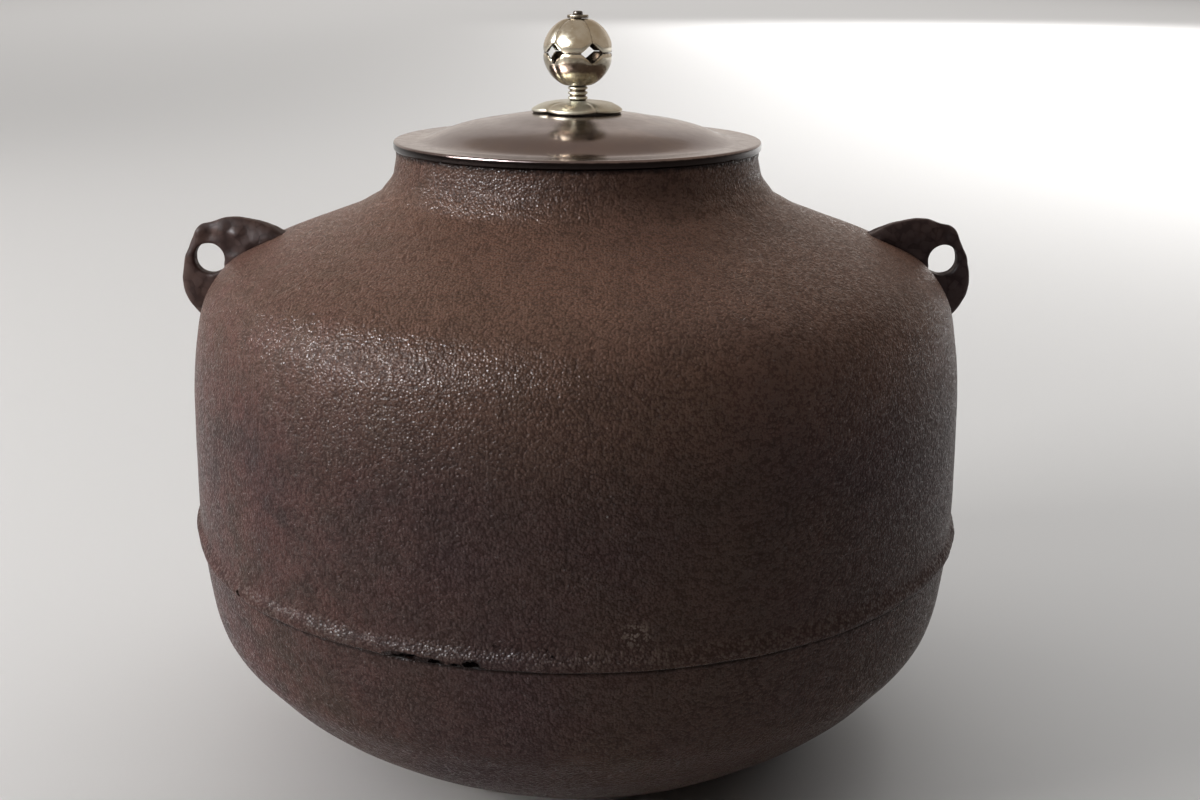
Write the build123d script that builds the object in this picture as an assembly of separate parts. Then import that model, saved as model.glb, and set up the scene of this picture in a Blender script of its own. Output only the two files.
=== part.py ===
from build123d import *
import math
import os

# A tea kettle: a cast iron vessel with two ring lugs, and a bronze lid with an openwork ball knob.
# Millimetres. The origin is the middle of the flat bottom, +Z is up and the lugs lie on the X axis.
# A profile is drawn as stations on the half plane y = 0. Each station is a radius, a height and a
# heading in degrees, which is the way the outline travels: 0 outwards, 90 down and 180 inwards.

FULL_TURN = 360.0
HALF_TURN = 180.0
QUARTER_TURN = 90.0
OVERRUN = 5.0  # how far a cutter runs past what it cuts

# Iron shell, from the mouth down to the waist ridge
WALL = 3.2
MOUTH_Z = 203.0
MOUTH_R = 60.2
MOUTH_WALL = 4.5
MOUTH_LIP_DEPTH = 9.0  # how far down the thicker iron of the mouth reaches
WALL_R = 130.3
SEAM_Z = 76.0  # the shell's lower edge
RIDGE_H = 7.0
RIDGE_STAND = 1.8  # how far the ridge's crest stands out from the wall
RIDGE_FOOT_STAND = 0.7  # how far the ridge's lower edge does
RIDGE_CREST_SHARE = 0.30  # height of the ridge's crest, from the seam up to the ridge's top
# radius from the mouth's to the wall's, height from the ridge's top up to the mouth, heading
SHELL_SHARES = (
    (0.000, 1.000, 90.0),
    (0.016, 0.942, 82.0),
    (0.072, 0.891, 56.0),
    (0.172, 0.851, 32.0),
    (0.350, 0.806, 21.0),
    (0.640, 0.741, 24.0),
    (0.810, 0.687, 38.0),
    (0.905, 0.619, 61.0),
    (0.950, 0.534, 80.0),
    (0.987, 0.354, 88.0),
    (1.000, 0.000, 90.0),
)
NECK_STATION_COUNT = 4  # the stations before the iron has its plain wall

# Iron bowl, let into the shell from below
BOWL_SETBACK = 0.4  # how far the bowl's top edge lies inside the shell's wall
BASE_R = 53.0
LACQUER_GAP = 0.5  # between the shell's lower edge and the bowl's ledge
LACQUER_SIDE = 0.5  # between the shell and the bowl's spigot
SPIGOT_H = 10.0
SPIGOT_DEPTH = 12.0  # how far below the seam the spigot's inner face turns into the bowl's
LACQUER_RECESS = 0.2  # the putty stops this far inside the bowl's outer face
LACQUER_SHRINK = 0.05  # the dry putty has drawn back from the shell by this
# radius from the flat base's to the bowl's, height from the bottom up to the ledge, heading
BOWL_SHARES = (
    (1.000, 1.000, 93.0),
    (0.975, 0.755, 98.0),
    (0.948, 0.639, 108.0),
    (0.882, 0.528, 130.0),
    (0.733, 0.354, 137.0),
    (0.575, 0.223, 144.0),
    (0.425, 0.121, 150.5),
    (0.000, 0.000, 180.0),
)
LEDGE_STATION_COUNT = 2  # the stations before the iron has its plain wall
# Lost putty: middle of each gap, and its width, in degrees round from the front towards the right
PUTTY_LOSSES = ((-21.4, 4.6), (-17.4, 2.0), (-14.7, 1.4), (-12.6, 2.4))

# Ring lugs, cast first and let into the shell
RING_HOLE_R = 5.0
RING_HOLE_ROUND = 1.0
RING_HOLE_WEB = 0.5  # iron between the hole and the shell
RING_HOLE_SHARE = 0.488  # along the shell's outline, from the mouth to the ridge's top
LUG_HEIGHT = 33.0
LUG_WIDTH = 36.0
LUG_TIP_T = 7.8
LUG_WAIST_T = 12.4
LUG_ROOT_T = 27.0
LUG_ROUND = 2.8
# lug outline from the ring hole's middle, in shares of the lug's width and height
LUG_OUTLINE_SHARES = (
    (-0.700, 0.270),
    (-0.478, 0.385),
    (-0.340, 0.420),
    (-0.200, 0.432),
    (-0.096, 0.406),
    (-0.030, 0.376),
    (0.042, 0.364),
    (0.115, 0.310),
    (0.168, 0.200),
    (0.225, 0.060),
    (0.268, -0.085),
    (0.285, -0.235),
    (0.262, -0.380),
    (0.205, -0.500),
    (0.100, -0.620),
    (-0.080, -0.680),
    (-0.400, -0.420),
    (-0.760, 0.000),
)
# where the lug has its tip, waist and root thickness, in shares of its width from the ring hole
LUG_PLAN_SHARES = (0.45, -0.50, -1.40)
TENON_R = 3.4
TENON_STAND = 1.2  # how far a tenon stands proud inside the kettle
TENON_ROOT = 2.5  # how far a tenon reaches up into its lug
TENON_SHARES = (0.407, 0.566)  # along the shell's outline, as the ring hole

# Iron plates lacquered to the floor, which make the kettle sing
PLATE_COUNT = 3
PLATE_LENGTH = 26.0
PLATE_WIDTH = 11.0
PLATE_THICKNESS = 2.2
PLATE_CIRCLE_R = 26.0
PLATE_ROUND = 2.0
PAD_MARGIN = 2.0
PAD_THICKNESS = 0.8

# Bronze lid
LID_OVERHANG = 0.8  # how far the lid reaches past the mouth
LID_RIM_THICKNESS = 3.0
LID_EDGE_ROUND = 0.4
LID_WALL = 2.0
LID_RIM_WIDTH = 10.2
LID_DOME_H = 9.2
LID_FLAT_R = 7.0
LID_HOLLOW_MARGIN = 0.6  # the hollow below starts this far inside the dome's foot
# radius from the flat middle's to the dome's foot, height from the rim up to the flat, heading
DOME_SHARES = (
    (0.000, 1.000, 0.0),
    (0.274, 0.880, 8.0),
    (0.479, 0.717, 9.5),
    (0.662, 0.565, 12.5),
    (0.822, 0.353, 20.0),
    (1.000, 0.000, 22.0),
)
SKIRT_CLEARANCE = 1.0  # play of the skirt in the mouth
SKIRT_WALL = 2.2
SKIRT_DEPTH = 6.0
SKIRT_ROUND = 0.6

# Knob: seat, stem, ball, washers and the pin that holds them
PETAL_COUNT = 5
KNOB_PHASE = 26.0  # degrees round from the front to the first notch of the seat and the ball
PIN_R = 1.2
PIN_CLEARANCE = 0.05
PIN_HEAD_R = 1.6
PIN_HEAD_H = 1.2
PIN_HEAD_ROUND = 0.3
PIN_TAIL_R = 2.3
PIN_TAIL_H = 1.3
PIN_TAIL_ROUND = 0.5
LID_HOLE_CLEARANCE = 0.08
KNOB_PLAY = 0.3  # end play of the knob on the lid, above and below
SEAT_R = 15.3
SEAT_H = 3.5
SEAT_WALL = 0.9
SEAT_CROWN_R = 4.0
SEAT_RIM_HEADING = 38.0
PETAL_R = 10.0
STEM_H = 4.7
STEM_R = 2.65
STEM_RING_R = 3.3
STEM_RING_SHARES = (0.20, 0.54, 0.88)  # heights of the rings' middles
STEM_RING_H = 1.0
BALL_R = 11.5
BALL_WALL = 0.9
BALL_POLE_R = 3.7
BALL_SEAM_DEPTH = 0.3
DIAMOND_HALF_W = 4.0
DIAMOND_HALF_H = 3.15
DIAMOND_WAIST_SHARE = 0.44  # how far out a diamond's hollow side stands, 0.5 being a straight side
CREASE_R = 0.8
CREASE_DEPTH = 0.35
TOP_WASHER_R = 3.5
TOP_WASHER_H = 1.0
UNDER_WASHER_R = 5.0
UNDER_WASHER_H = 1.0

# Worked out from the sizes above
MOUTH_INNER_R = MOUTH_R - MOUTH_WALL
SHELL_INNER_R = WALL_R - WALL
RIDGE_R = WALL_R + RIDGE_STAND
RIDGE_FOOT_R = WALL_R + RIDGE_FOOT_STAND
RIDGE_TOP_Z = SEAM_Z + RIDGE_H
BOWL_R = WALL_R - BOWL_SETBACK
LEDGE_Z = SEAM_Z - LACQUER_GAP
SPIGOT_FOOT_Z = SEAM_Z - SPIGOT_DEPTH
SPIGOT_R = SHELL_INNER_R - LACQUER_SIDE
SPIGOT_INNER_R = SPIGOT_R - WALL
SPIGOT_TOP_Z = LEDGE_Z + SPIGOT_H
LID_R = MOUTH_R + LID_OVERHANG
LID_TOP_Z = MOUTH_Z + LID_RIM_THICKNESS
LID_CROWN_Z = LID_TOP_Z + LID_DOME_H
LID_CROWN_UNDER_Z = LID_CROWN_Z - LID_WALL
DOME_FOOT_R = LID_R - LID_RIM_WIDTH
PIN_BORE_R = PIN_R + PIN_CLEARANCE
BALL_POLE_H = math.sqrt(BALL_R**2 - BALL_POLE_R**2)


def on_profile(radius, height):
    """A point of a profile, on the half plane y = 0."""
    return (radius, 0, height)


def direction(heading):
    """The way a profile travels at a heading."""
    angle = math.radians(heading)
    return Vector(math.cos(angle), 0, -math.sin(angle))


def between(low, high, share):
    return low + (high - low) * share


def spread(shares, radii, heights):
    """Stations from shares of a radius range and a height range."""
    return [(between(*radii, r), between(*heights, z), heading) for r, z, heading in shares]


def sunk(station, depth):
    """The station moved into the metal, square to the outline."""
    radius, height, heading = station
    angle = math.radians(heading)
    return radius - depth * math.sin(angle), height - depth * math.cos(angle), heading


def smooth(stations):
    """Smooth edges through the stations, each leaving and arriving at its heading."""
    return [
        Spline(
            on_profile(*start[:2]),
            on_profile(*end[:2]),
            tangents=(direction(start[2]), direction(end[2])),
        )
        for start, end in zip(stations, stations[1:])
    ]


def straight(*points):
    """Straight edges through (radius, height) points."""
    return [Line(on_profile(*a), on_profile(*b)) for a, b in zip(points, points[1:])]


def turned(edges):
    """The solid that a closed profile sweeps round the Z axis."""
    return revolve(make_face(edges), axis=Axis.Z, revolution_arc=FULL_TURN)


def ring(outer_r, inner_r, low_z, high_z):
    """A plain ring, or a disc where inner_r is zero."""
    corners = ((inner_r, low_z), (outer_r, low_z), (outer_r, high_z), (inner_r, high_z))
    return turned(straight(*corners, corners[0]))


def around_front(degrees):
    """Turns a piece built on the front, which faces -Y, round towards +X."""
    return Rotation(0, 0, degrees)


def shell_stations():
    return spread(SHELL_SHARES, (MOUTH_R, WALL_R), (RIDGE_TOP_Z, MOUTH_Z))


def shell_frame(share):
    """A point on the shell's outline in the plane y = 0, and the outward direction there."""
    outline = Wire(smooth(shell_stations()))
    along = outline.tangent_at(share)
    return outline.position_at(share), Vector(-along.Z, 0, along.X)


def ridge_edges():
    """The waist ridge's rounded outer face, from its top down to the shell's lower edge."""
    crest = (RIDGE_R, between(SEAM_Z, RIDGE_TOP_Z, RIDGE_CREST_SHARE), QUARTER_TURN)
    return smooth([shell_stations()[-1], crest, (RIDGE_FOOT_R, SEAM_Z, HALF_TURN)])


def shell_inner_edges():
    """The shell's inner face from its lower edge up to the mouth."""
    socket = (SHELL_INNER_R, SPIGOT_TOP_Z + LACQUER_SIDE, QUARTER_TURN)
    neck = (MOUTH_INNER_R, MOUTH_Z - MOUTH_LIP_DEPTH, QUARTER_TURN)
    wall = [sunk(s, WALL) for s in shell_stations()[NECK_STATION_COUNT:-1]]
    return (
        straight((RIDGE_FOOT_R, SEAM_Z), (SHELL_INNER_R, SEAM_Z), socket[:2])
        + smooth([neck] + wall + [socket])
        + straight(neck[:2], (MOUTH_INNER_R, MOUTH_Z), (MOUTH_R, MOUTH_Z))
    )


def kettle_envelope():
    """All the room inside the shell's outer face, which the lugs are cut to."""
    return turned(
        smooth(shell_stations())
        + straight((WALL_R, RIDGE_TOP_Z), (0, RIDGE_TOP_Z), (0, MOUTH_Z), (MOUTH_R, MOUTH_Z))
    )


def make_shell(tenons):
    return turned(smooth(shell_stations()) + ridge_edges() + shell_inner_edges()) - tenons


def make_bowl():
    stations = spread(BOWL_SHARES, (BASE_R, BOWL_R), (0, LEDGE_Z))
    spigot_foot = (SPIGOT_INNER_R, SPIGOT_FOOT_Z, QUARTER_TURN)
    inner = [spigot_foot] + [sunk(s, WALL) for s in stations[LEDGE_STATION_COUNT:]]
    return turned(
        smooth(stations)
        + straight((BASE_R, 0), (0, 0), (0, WALL), (BASE_R, WALL))
        + smooth(inner)
        + straight(
            spigot_foot[:2],
            (SPIGOT_INNER_R, SPIGOT_TOP_Z),
            (SPIGOT_R, SPIGOT_TOP_Z),
            (SPIGOT_R, LEDGE_Z),
            (BOWL_R, LEDGE_Z),
        )
    )


def make_seam_lacquer():
    """Putty between the shell and the bowl, with the places where it has dropped out."""
    putty = ring(SHELL_INNER_R - LACQUER_SHRINK, SPIGOT_R, LEDGE_Z, SPIGOT_TOP_Z)
    putty += ring(BOWL_R - LACQUER_RECESS, SPIGOT_R, LEDGE_Z, SEAM_Z - LACQUER_SHRINK)
    depth = BOWL_R - SHELL_INNER_R + OVERRUN
    for middle, width in PUTTY_LOSSES:
        block = Box(math.radians(width) * BOWL_R, depth, 2 * LACQUER_GAP)
        putty -= around_front(middle) * Pos(0, -(SHELL_INNER_R + depth / 2), SEAM_Z) * block
    return putty


def ring_hole_middle():
    """Middle of the right lug's ring hole."""
    point, outward = shell_frame(RING_HOLE_SHARE)
    return point + outward * (RING_HOLE_R + RING_HOLE_WEB)


def make_tenons():
    """The right lug's two tenons, which pass through the shell's wall."""
    tenons = []
    for share in TENON_SHARES:
        point, outward = shell_frame(share)
        foot = Plane(origin=point - outward * (WALL + TENON_STAND), z_dir=outward)
        tenons.append(extrude(foot * Circle(TENON_R), WALL + TENON_STAND + TENON_ROOT))
    return tenons


def make_lug_plan(hole):
    """The lug seen from above: thick at the root, waisted, and thin at the tip."""
    thicknesses = (LUG_TIP_T, LUG_WAIST_T, LUG_ROOT_T)
    near = [(hole.X + s * LUG_WIDTH, -t / 2) for s, t in zip(LUG_PLAN_SHARES, thicknesses)]
    far = [(x, -y) for x, y in near]
    edges = [ThreePointArc(*near), Line(near[-1], far[-1]), ThreePointArc(*far[::-1]), Line(far[0], near[0])]
    return make_face(edges)


def make_right_lug(tenons):
    """A lug whose outline and plan are crossed, rounded, drilled and cut to the shell."""
    hole = ring_hole_middle()
    points = [on_profile(hole.X + x * LUG_WIDTH, hole.Z + z * LUG_HEIGHT) for x, z in LUG_OUTLINE_SHARES]
    blank = extrude(make_face(Spline(points, periodic=True)), LUG_ROOT_T, both=True)
    blank &= Pos(0, 0, hole.Z) * extrude(make_lug_plan(hole), LUG_HEIGHT, both=True)
    blank = fillet(blank.edges().filter_by(GeomType.LINE, reverse=True), LUG_ROUND)
    drilled = blank - Pos(*hole) * Cylinder(RING_HOLE_R, 2 * LUG_ROOT_T, rotation=(QUARTER_TURN, 0, 0))
    bore = drilled.faces().filter_by(GeomType.CYLINDER).sort_by(lambda face: face.radius)[0]
    drilled = fillet(bore.edges().filter_by(GeomType.LINE, reverse=True), RING_HOLE_ROUND)
    lug = (drilled - kettle_envelope()).solids().sort_by(SortBy.VOLUME)[-1]
    return Part() + lug + tenons


def make_plates():
    """The singing plates, and the lacquer pads that hold them to the floor."""
    plate = extrude(RectangleRounded(PLATE_LENGTH, PLATE_WIDTH, PLATE_ROUND), PLATE_THICKNESS)
    margin = 2 * PAD_MARGIN
    pad = extrude(RectangleRounded(PLATE_LENGTH + margin, PLATE_WIDTH + margin, PLATE_ROUND), PAD_THICKNESS)
    turns = [Rotation(0, 0, index * FULL_TURN / PLATE_COUNT) for index in range(PLATE_COUNT)]
    pads = [turn * Pos(0, PLATE_CIRCLE_R, WALL) * pad for turn in turns]
    plates = [turn * Pos(0, PLATE_CIRCLE_R, WALL + PAD_THICKNESS) * plate for turn in turns]
    return Compound(plates), Compound(pads)


def dome_stations():
    return spread(DOME_SHARES, (LID_FLAT_R, DOME_FOOT_R), (LID_TOP_Z, LID_CROWN_Z))


def make_lid():
    top = dome_stations()
    hollow_r = DOME_FOOT_R - LID_HOLLOW_MARGIN
    under = [sunk(s, LID_WALL) for s in top[:-1]] + [(hollow_r, MOUTH_Z, top[-1][2])]
    hole_r = PIN_R + LID_HOLE_CLEARANCE
    lid = turned(
        straight((hole_r, LID_CROWN_Z), (LID_FLAT_R, LID_CROWN_Z))
        + smooth(top)
        + straight((DOME_FOOT_R, LID_TOP_Z), (LID_R, LID_TOP_Z), (LID_R, MOUTH_Z), (hollow_r, MOUTH_Z))
        + smooth(under)
        + straight((LID_FLAT_R, LID_CROWN_UNDER_Z), (hole_r, LID_CROWN_UNDER_Z), (hole_r, LID_CROWN_Z))
    )
    rim = lid.edges().filter_by(GeomType.CIRCLE).filter_by(lambda e: e.radius > LID_R - LID_EDGE_ROUND)
    return fillet(rim, LID_EDGE_ROUND)


def make_skirt():
    """The ring under the lid that keeps it in the mouth."""
    outer_r = MOUTH_INNER_R - SKIRT_CLEARANCE
    skirt = ring(outer_r, outer_r - SKIRT_WALL, MOUTH_Z - SKIRT_DEPTH, MOUTH_Z)
    return fillet(skirt.edges().group_by(Axis.Z)[0], SKIRT_ROUND)


def seat_rim_z():
    """Height of the seat's lower edge, which clears the lid's dome by the knob's play."""
    dome = Wire(smooth(dome_stations()))
    column = Edge.make_line(on_profile(SEAT_R, LID_TOP_Z), on_profile(SEAT_R, LID_CROWN_Z))
    return dome.distance_to_with_closest_points(column)[1].Z + KNOB_PLAY


def make_seat(rim_z):
    """A domed washer with five petals, which carries the stem."""
    top_z = rim_z + SEAT_H
    crown = (SEAT_CROWN_R, top_z, 0.0)
    tip = (SEAT_R, rim_z + SEAT_WALL, SEAT_RIM_HEADING)
    crown_under = sunk(crown, SEAT_WALL)
    tip_under = (SEAT_R, rim_z, SEAT_RIM_HEADING)
    dome = turned(
        straight((PIN_BORE_R, top_z), crown[:2])
        + smooth([crown, tip])
        + straight(tip[:2], tip_under[:2])
        + smooth([crown_under, tip_under])
        + straight(crown_under[:2], (PIN_BORE_R, crown_under[1]), (PIN_BORE_R, top_z))
    )
    flower = Sketch() + [
        around_front(KNOB_PHASE + (index + 0.5) * FULL_TURN / PETAL_COUNT)
        * Pos(0, PETAL_R - SEAT_R)
        * Circle(PETAL_R)
        for index in range(PETAL_COUNT)
    ]
    return dome & Pos(0, 0, rim_z) * extrude(flower, SEAT_H + OVERRUN, both=True)


def make_stem(low_z):
    """A short tube with three turned rings, from the seat up to the ball."""
    stem = ring(STEM_R, PIN_BORE_R, low_z, low_z + STEM_H)
    for share in STEM_RING_SHARES:
        middle = low_z + share * STEM_H
        low, high = middle - STEM_RING_H / 2, middle + STEM_RING_H / 2
        bead = straight((STEM_R, low), (PIN_BORE_R, low), (PIN_BORE_R, high), (STEM_R, high))
        crest = ThreePointArc(on_profile(STEM_R, high), on_profile(STEM_RING_R, middle), on_profile(STEM_R, low))
        stem += turned(bead + [crest])
    return stem


def diamond_cutter():
    """One openwork diamond with hollow sides, cut from the middle of a ball out of its front."""
    tips = [(DIAMOND_HALF_W, 0), (0, DIAMOND_HALF_H), (-DIAMOND_HALF_W, 0), (0, -DIAMOND_HALF_H)]
    sides = []
    for (x0, z0), (x1, z1) in zip(tips, tips[1:] + tips[:1]):
        waist = on_profile((x0 + x1) * DIAMOND_WAIST_SHARE, (z0 + z1) * DIAMOND_WAIST_SHARE)
        sides.append(ThreePointArc(on_profile(x0, z0), waist, on_profile(x1, z1)))
    return extrude(make_face(sides), BALL_R + OVERRUN, dir=(0, -1, 0))


def crease_cutter():
    """Half a ring, which cuts the crease between two petals down a ball's front."""
    half_ring = Torus(BALL_R + CREASE_R - CREASE_DEPTH, CREASE_R, major_angle=HALF_TURN)
    return Rotation(0, 0, HALF_TURN) * Rotation(0, QUARTER_TURN, 0) * half_ring


def make_ball_halves(middle_z):
    """The two halves of the hollow ball, with a diamond and a crease at each of five places."""
    ball = Sphere(BALL_R) - Sphere(BALL_R - BALL_WALL)
    ball &= Cylinder(BALL_R, 2 * BALL_POLE_H)
    ball -= Cylinder(PIN_BORE_R, 2 * BALL_R)
    for index in range(PETAL_COUNT):
        turn = around_front(KNOB_PHASE + index * FULL_TURN / PETAL_COUNT)
        ball -= turn * crease_cutter()
        ball -= turn * diamond_cutter()
    ball -= ring(BALL_R + OVERRUN, BALL_R - BALL_SEAM_DEPTH, -BALL_SEAM_DEPTH, BALL_SEAM_DEPTH)
    ball = Pos(0, 0, middle_z) * ball
    seam = Plane.XY.offset(middle_z)
    return split(ball, bisect_by=seam, keep=Keep.BOTTOM), split(ball, bisect_by=seam, keep=Keep.TOP)


def make_pin(tail_z, head_z):
    """The pin from its spread tail, under the lid, to its head on the top washer."""
    tail = ring(PIN_TAIL_R, 0, tail_z - PIN_TAIL_H, tail_z)
    head = ring(PIN_HEAD_R, 0, head_z, head_z + PIN_HEAD_H)
    tail = fillet(tail.edges().group_by(Axis.Z)[0], PIN_TAIL_ROUND)
    head = fillet(head.edges().group_by(Axis.Z)[-1], PIN_HEAD_ROUND)
    return tail + ring(PIN_R, 0, tail_z, head_z) + head


def make_kettle():
    """The iron pieces, which stand on the ground plane."""
    tenons = make_tenons()
    lug = make_right_lug(tenons)
    plates, pads = make_plates()
    return {
        "body_shell": make_shell(tenons + [mirror(tenon, Plane.YZ) for tenon in tenons]),
        "bottom_bowl": make_bowl(),
        "seam_lacquer": make_seam_lacquer(),
        "right_lug": lug,
        "left_lug": mirror(lug, Plane.YZ),
        "singing_plates": plates,
        "plate_lacquer": pads,
    }


def make_lid_and_knob():
    """The bronze lid in the mouth, and the knob that turns on it."""
    seat_z = seat_rim_z()
    stem_z = seat_z + SEAT_H
    ball_z = stem_z + STEM_H + BALL_POLE_H
    washer_z = ball_z + BALL_POLE_H
    under_z = LID_CROWN_UNDER_Z - KNOB_PLAY - UNDER_WASHER_H
    lower_half, upper_half = make_ball_halves(ball_z)
    return {
        "lid_plate": make_lid(),
        "lid_skirt": make_skirt(),
        "knob_seat": make_seat(seat_z),
        "knob_stem": make_stem(stem_z),
        "ball_lower_half": lower_half,
        "ball_upper_half": upper_half,
        "top_washer": ring(TOP_WASHER_R, PIN_BORE_R, washer_z, washer_z + TOP_WASHER_H),
        "under_washer": ring(UNDER_WASHER_R, PIN_BORE_R, under_z, under_z + UNDER_WASHER_H),
        "knob_pin": make_pin(under_z, washer_z + TOP_WASHER_H),
    }


def main():
    os.makedirs("parts", exist_ok=True)
    for name, part in (make_kettle() | make_lid_and_knob()).items():
        export_step(part, f"parts/{name}.step")
    print("ring hole's middle", ring_hole_middle())


main()
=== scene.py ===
"""A cast iron tea kettle with two ring lugs, and its bronze lid with an openwork ball knob.

Metres, +Z up. The middle of the kettle's flat bottom is the origin, the lugs lie on the X axis
and the front faces -Y. Angles round the kettle are counted from the front towards +X.
"""

import logging
import math
from dataclasses import dataclass
from enum import Enum
from functools import partial
from typing import Callable, Sequence

import bpy
from mathutils import Matrix, Vector, noise
from mathutils.bvhtree import BVHTree


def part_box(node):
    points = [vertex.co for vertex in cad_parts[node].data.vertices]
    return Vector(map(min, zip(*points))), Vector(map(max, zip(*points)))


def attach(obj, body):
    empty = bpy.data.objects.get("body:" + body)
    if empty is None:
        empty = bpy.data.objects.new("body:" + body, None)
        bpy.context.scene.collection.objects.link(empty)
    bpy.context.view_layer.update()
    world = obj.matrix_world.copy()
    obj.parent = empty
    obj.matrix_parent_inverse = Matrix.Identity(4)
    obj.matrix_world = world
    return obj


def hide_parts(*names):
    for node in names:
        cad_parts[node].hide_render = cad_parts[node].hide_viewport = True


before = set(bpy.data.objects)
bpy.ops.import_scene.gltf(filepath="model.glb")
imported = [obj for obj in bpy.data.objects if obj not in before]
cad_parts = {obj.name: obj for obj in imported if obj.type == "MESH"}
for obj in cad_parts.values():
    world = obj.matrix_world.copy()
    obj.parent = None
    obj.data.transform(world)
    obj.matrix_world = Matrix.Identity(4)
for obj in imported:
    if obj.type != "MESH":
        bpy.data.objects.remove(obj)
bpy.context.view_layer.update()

MM = 0.001
TURN = math.tau
HALF_TURN = math.pi
WELD = 0.002 * MM  # points closer than this are one point
ARC_EDGES = 4  # edges in each rounded corner of an outline
SHARP = math.radians(50)  # a carved piece's edges are sharp from this angle up
DIRT_SHADE_ATTRIBUTE = "dirt_and_painted_shade"  # point attribute: 1 where dirt gathers in the creases and where shade is painted

Pair = tuple[float, float]
Triple = tuple[float, float, float]
Colour = tuple[float, float, float, float]
Corner = tuple[float, ...]  # radius, height and, where it is rounded, rounding
Move = Callable[[Vector, Vector], Vector]  # a vertex's new place from its place and normal
Rule = Callable[[Vector, Vector], float]  # a vertex's value from its place and normal
Piece = bpy.types.Object
Material = bpy.types.Material
Socket = bpy.types.NodeSocket
Sockets = bpy.types.bpy_prop_collection  # a node's outputs, by name

log = logging.getLogger("kettle")


class Body(Enum):
    """The bodies that pieces ride on."""

    KETTLE = "kettle"
    LID = "lid"
    KNOB = "knob"


class Slot(Enum):
    """The material slots, by name."""

    IRON = "iron"
    LUG_IRON = "lug_iron"
    SEAM_PUTTY = "seam_putty"
    LACQUER = "lacquer"
    PLATE_IRON = "plate_iron"
    LID_BRONZE = "lid_bronze"
    KNOB_METAL = "knob_metal"
    PIN_IRON = "pin_iron"


def at(radius: float, height: float) -> Vector:
    """A point of an outline, in the plane y = 0."""
    return Vector((radius, 0.0, height))


@dataclass(frozen=True)
class Station:
    """A place on a turned outline.

    The heading is the way the outline travels there, in degrees: 0 outwards, 90 down, 180 inwards.
    """

    radius: float
    height: float
    heading: float

    def point(self) -> Vector:
        """The place in the plane y = 0."""
        return at(self.radius, self.height)

    def travel(self) -> Vector:
        """The unit vector of the heading."""
        angle = math.radians(self.heading)
        return at(math.cos(angle), -math.sin(angle))

    def sunk(self, depth: float) -> "Station":
        """The place moved into the metal, square to the outline."""
        angle = math.radians(self.heading)
        radius = self.radius - depth * math.sin(angle)
        return Station(radius, self.height - depth * math.cos(angle), self.heading)


def spread(shares: Sequence[Triple], radii: Pair, heights: Pair) -> list[Station]:
    """Places stations by shares of a radius range and a height range.

    Args:
        shares: Radius share, height share and heading of each station.
        radii: The radii at shares 0 and 1.
        heights: The heights at shares 0 and 1.

    Returns:
        The stations, in order.
    """
    (inner, outer), (low, high) = radii, heights
    return [
        Station(inner + (outer - inner) * r, low + (high - low) * z, heading)
        for r, z, heading in shares
    ]


def swept(stations: Sequence[Station], step: float) -> list[Vector]:
    """Draws a smooth outline through stations.

    Args:
        stations: The places, each with its heading.
        step: The length of one edge, at most.

    Returns:
        The outline's points, both ends among them.
    """
    points = [stations[0].point()]
    for start, end in zip(stations, stations[1:]):
        a, b = start.point(), end.point()
        chord = (b - a).length
        count = max(2, math.ceil(chord / step))
        leave, arrive = start.travel() * chord, end.travel() * chord
        for index in range(1, count + 1):
            t = index / count
            points.append(
                a * (2 * t**3 - 3 * t**2 + 1)
                + leave * (t**3 - 2 * t**2 + t)
                + b * (3 * t**2 - 2 * t**3)
                + arrive * (t**3 - t**2)
            )
    return points


def cornered(corners: Sequence[Corner], step: float) -> list[Vector]:
    """Draws a straight outline with rounded corners.

    Args:
        corners: Radius, height and, where it is rounded, rounding of each corner.
        step: The length of one straight edge, at most.

    Returns:
        The outline's points.
    """
    places = [at(*corner[:2]) for corner in corners]
    points = [places[0]]
    for index, (_, _, *rounding) in enumerate(corners[1:], 1):
        target = places[index]
        arc = [target]
        if rounding:
            back = (places[index - 1] - target).normalized()
            onward = (places[index + 1] - target).normalized()
            reach = rounding[0] / math.tan(back.angle(onward) / 2)
            start, end = target + back * reach, target + onward * reach
            shares = [edge / ARC_EDGES for edge in range(ARC_EDGES + 1)]
            arc = [start.lerp(target, t).lerp(target.lerp(end, t), t) for t in shares]
        points += stepped(points[-1], arc[0], step) + arc[1:]
    return points


def stepped(start: Vector, end: Vector, step: float) -> list[Vector]:
    """Points from start to end, without start, no further apart than step."""
    count = max(1, math.ceil((end - start).length / step))
    return [start.lerp(end, index / count) for index in range(1, count + 1)]


def smoothstep(low: float, high: float, value: float) -> float:
    """0 below low, 1 above high and smooth between."""
    t = min(1.0, max(0.0, (value - low) / (high - low)))
    return t * t * (3 - 2 * t)


def bell(away: float, width: float) -> float:
    """1 at no distance, and next to nothing beyond twice the width."""
    return math.exp(-((away / width) ** 2))


def uneven(spot: Vector, waves: Sequence[Pair]) -> float:
    """A casting's swell at a point, 0 or more, from waves with a weight and a scale per metre."""
    return max(0.0, sum((weight * noise.noise(spot * scale) for weight, scale in waves), 0.5))


def flat(spot: Vector) -> float:
    """A point's distance from the Z axis."""
    return math.hypot(spot.x, spot.y)


def azimuth(spot: Vector) -> float:
    """The angle of a point round the Z axis, in radians from the front towards +X."""
    return math.atan2(spot.x, -spot.y)


def wrapped(angle: float) -> float:
    """The same angle between minus and plus half a turn."""
    return (angle + HALF_TURN) % TURN - HALF_TURN


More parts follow.
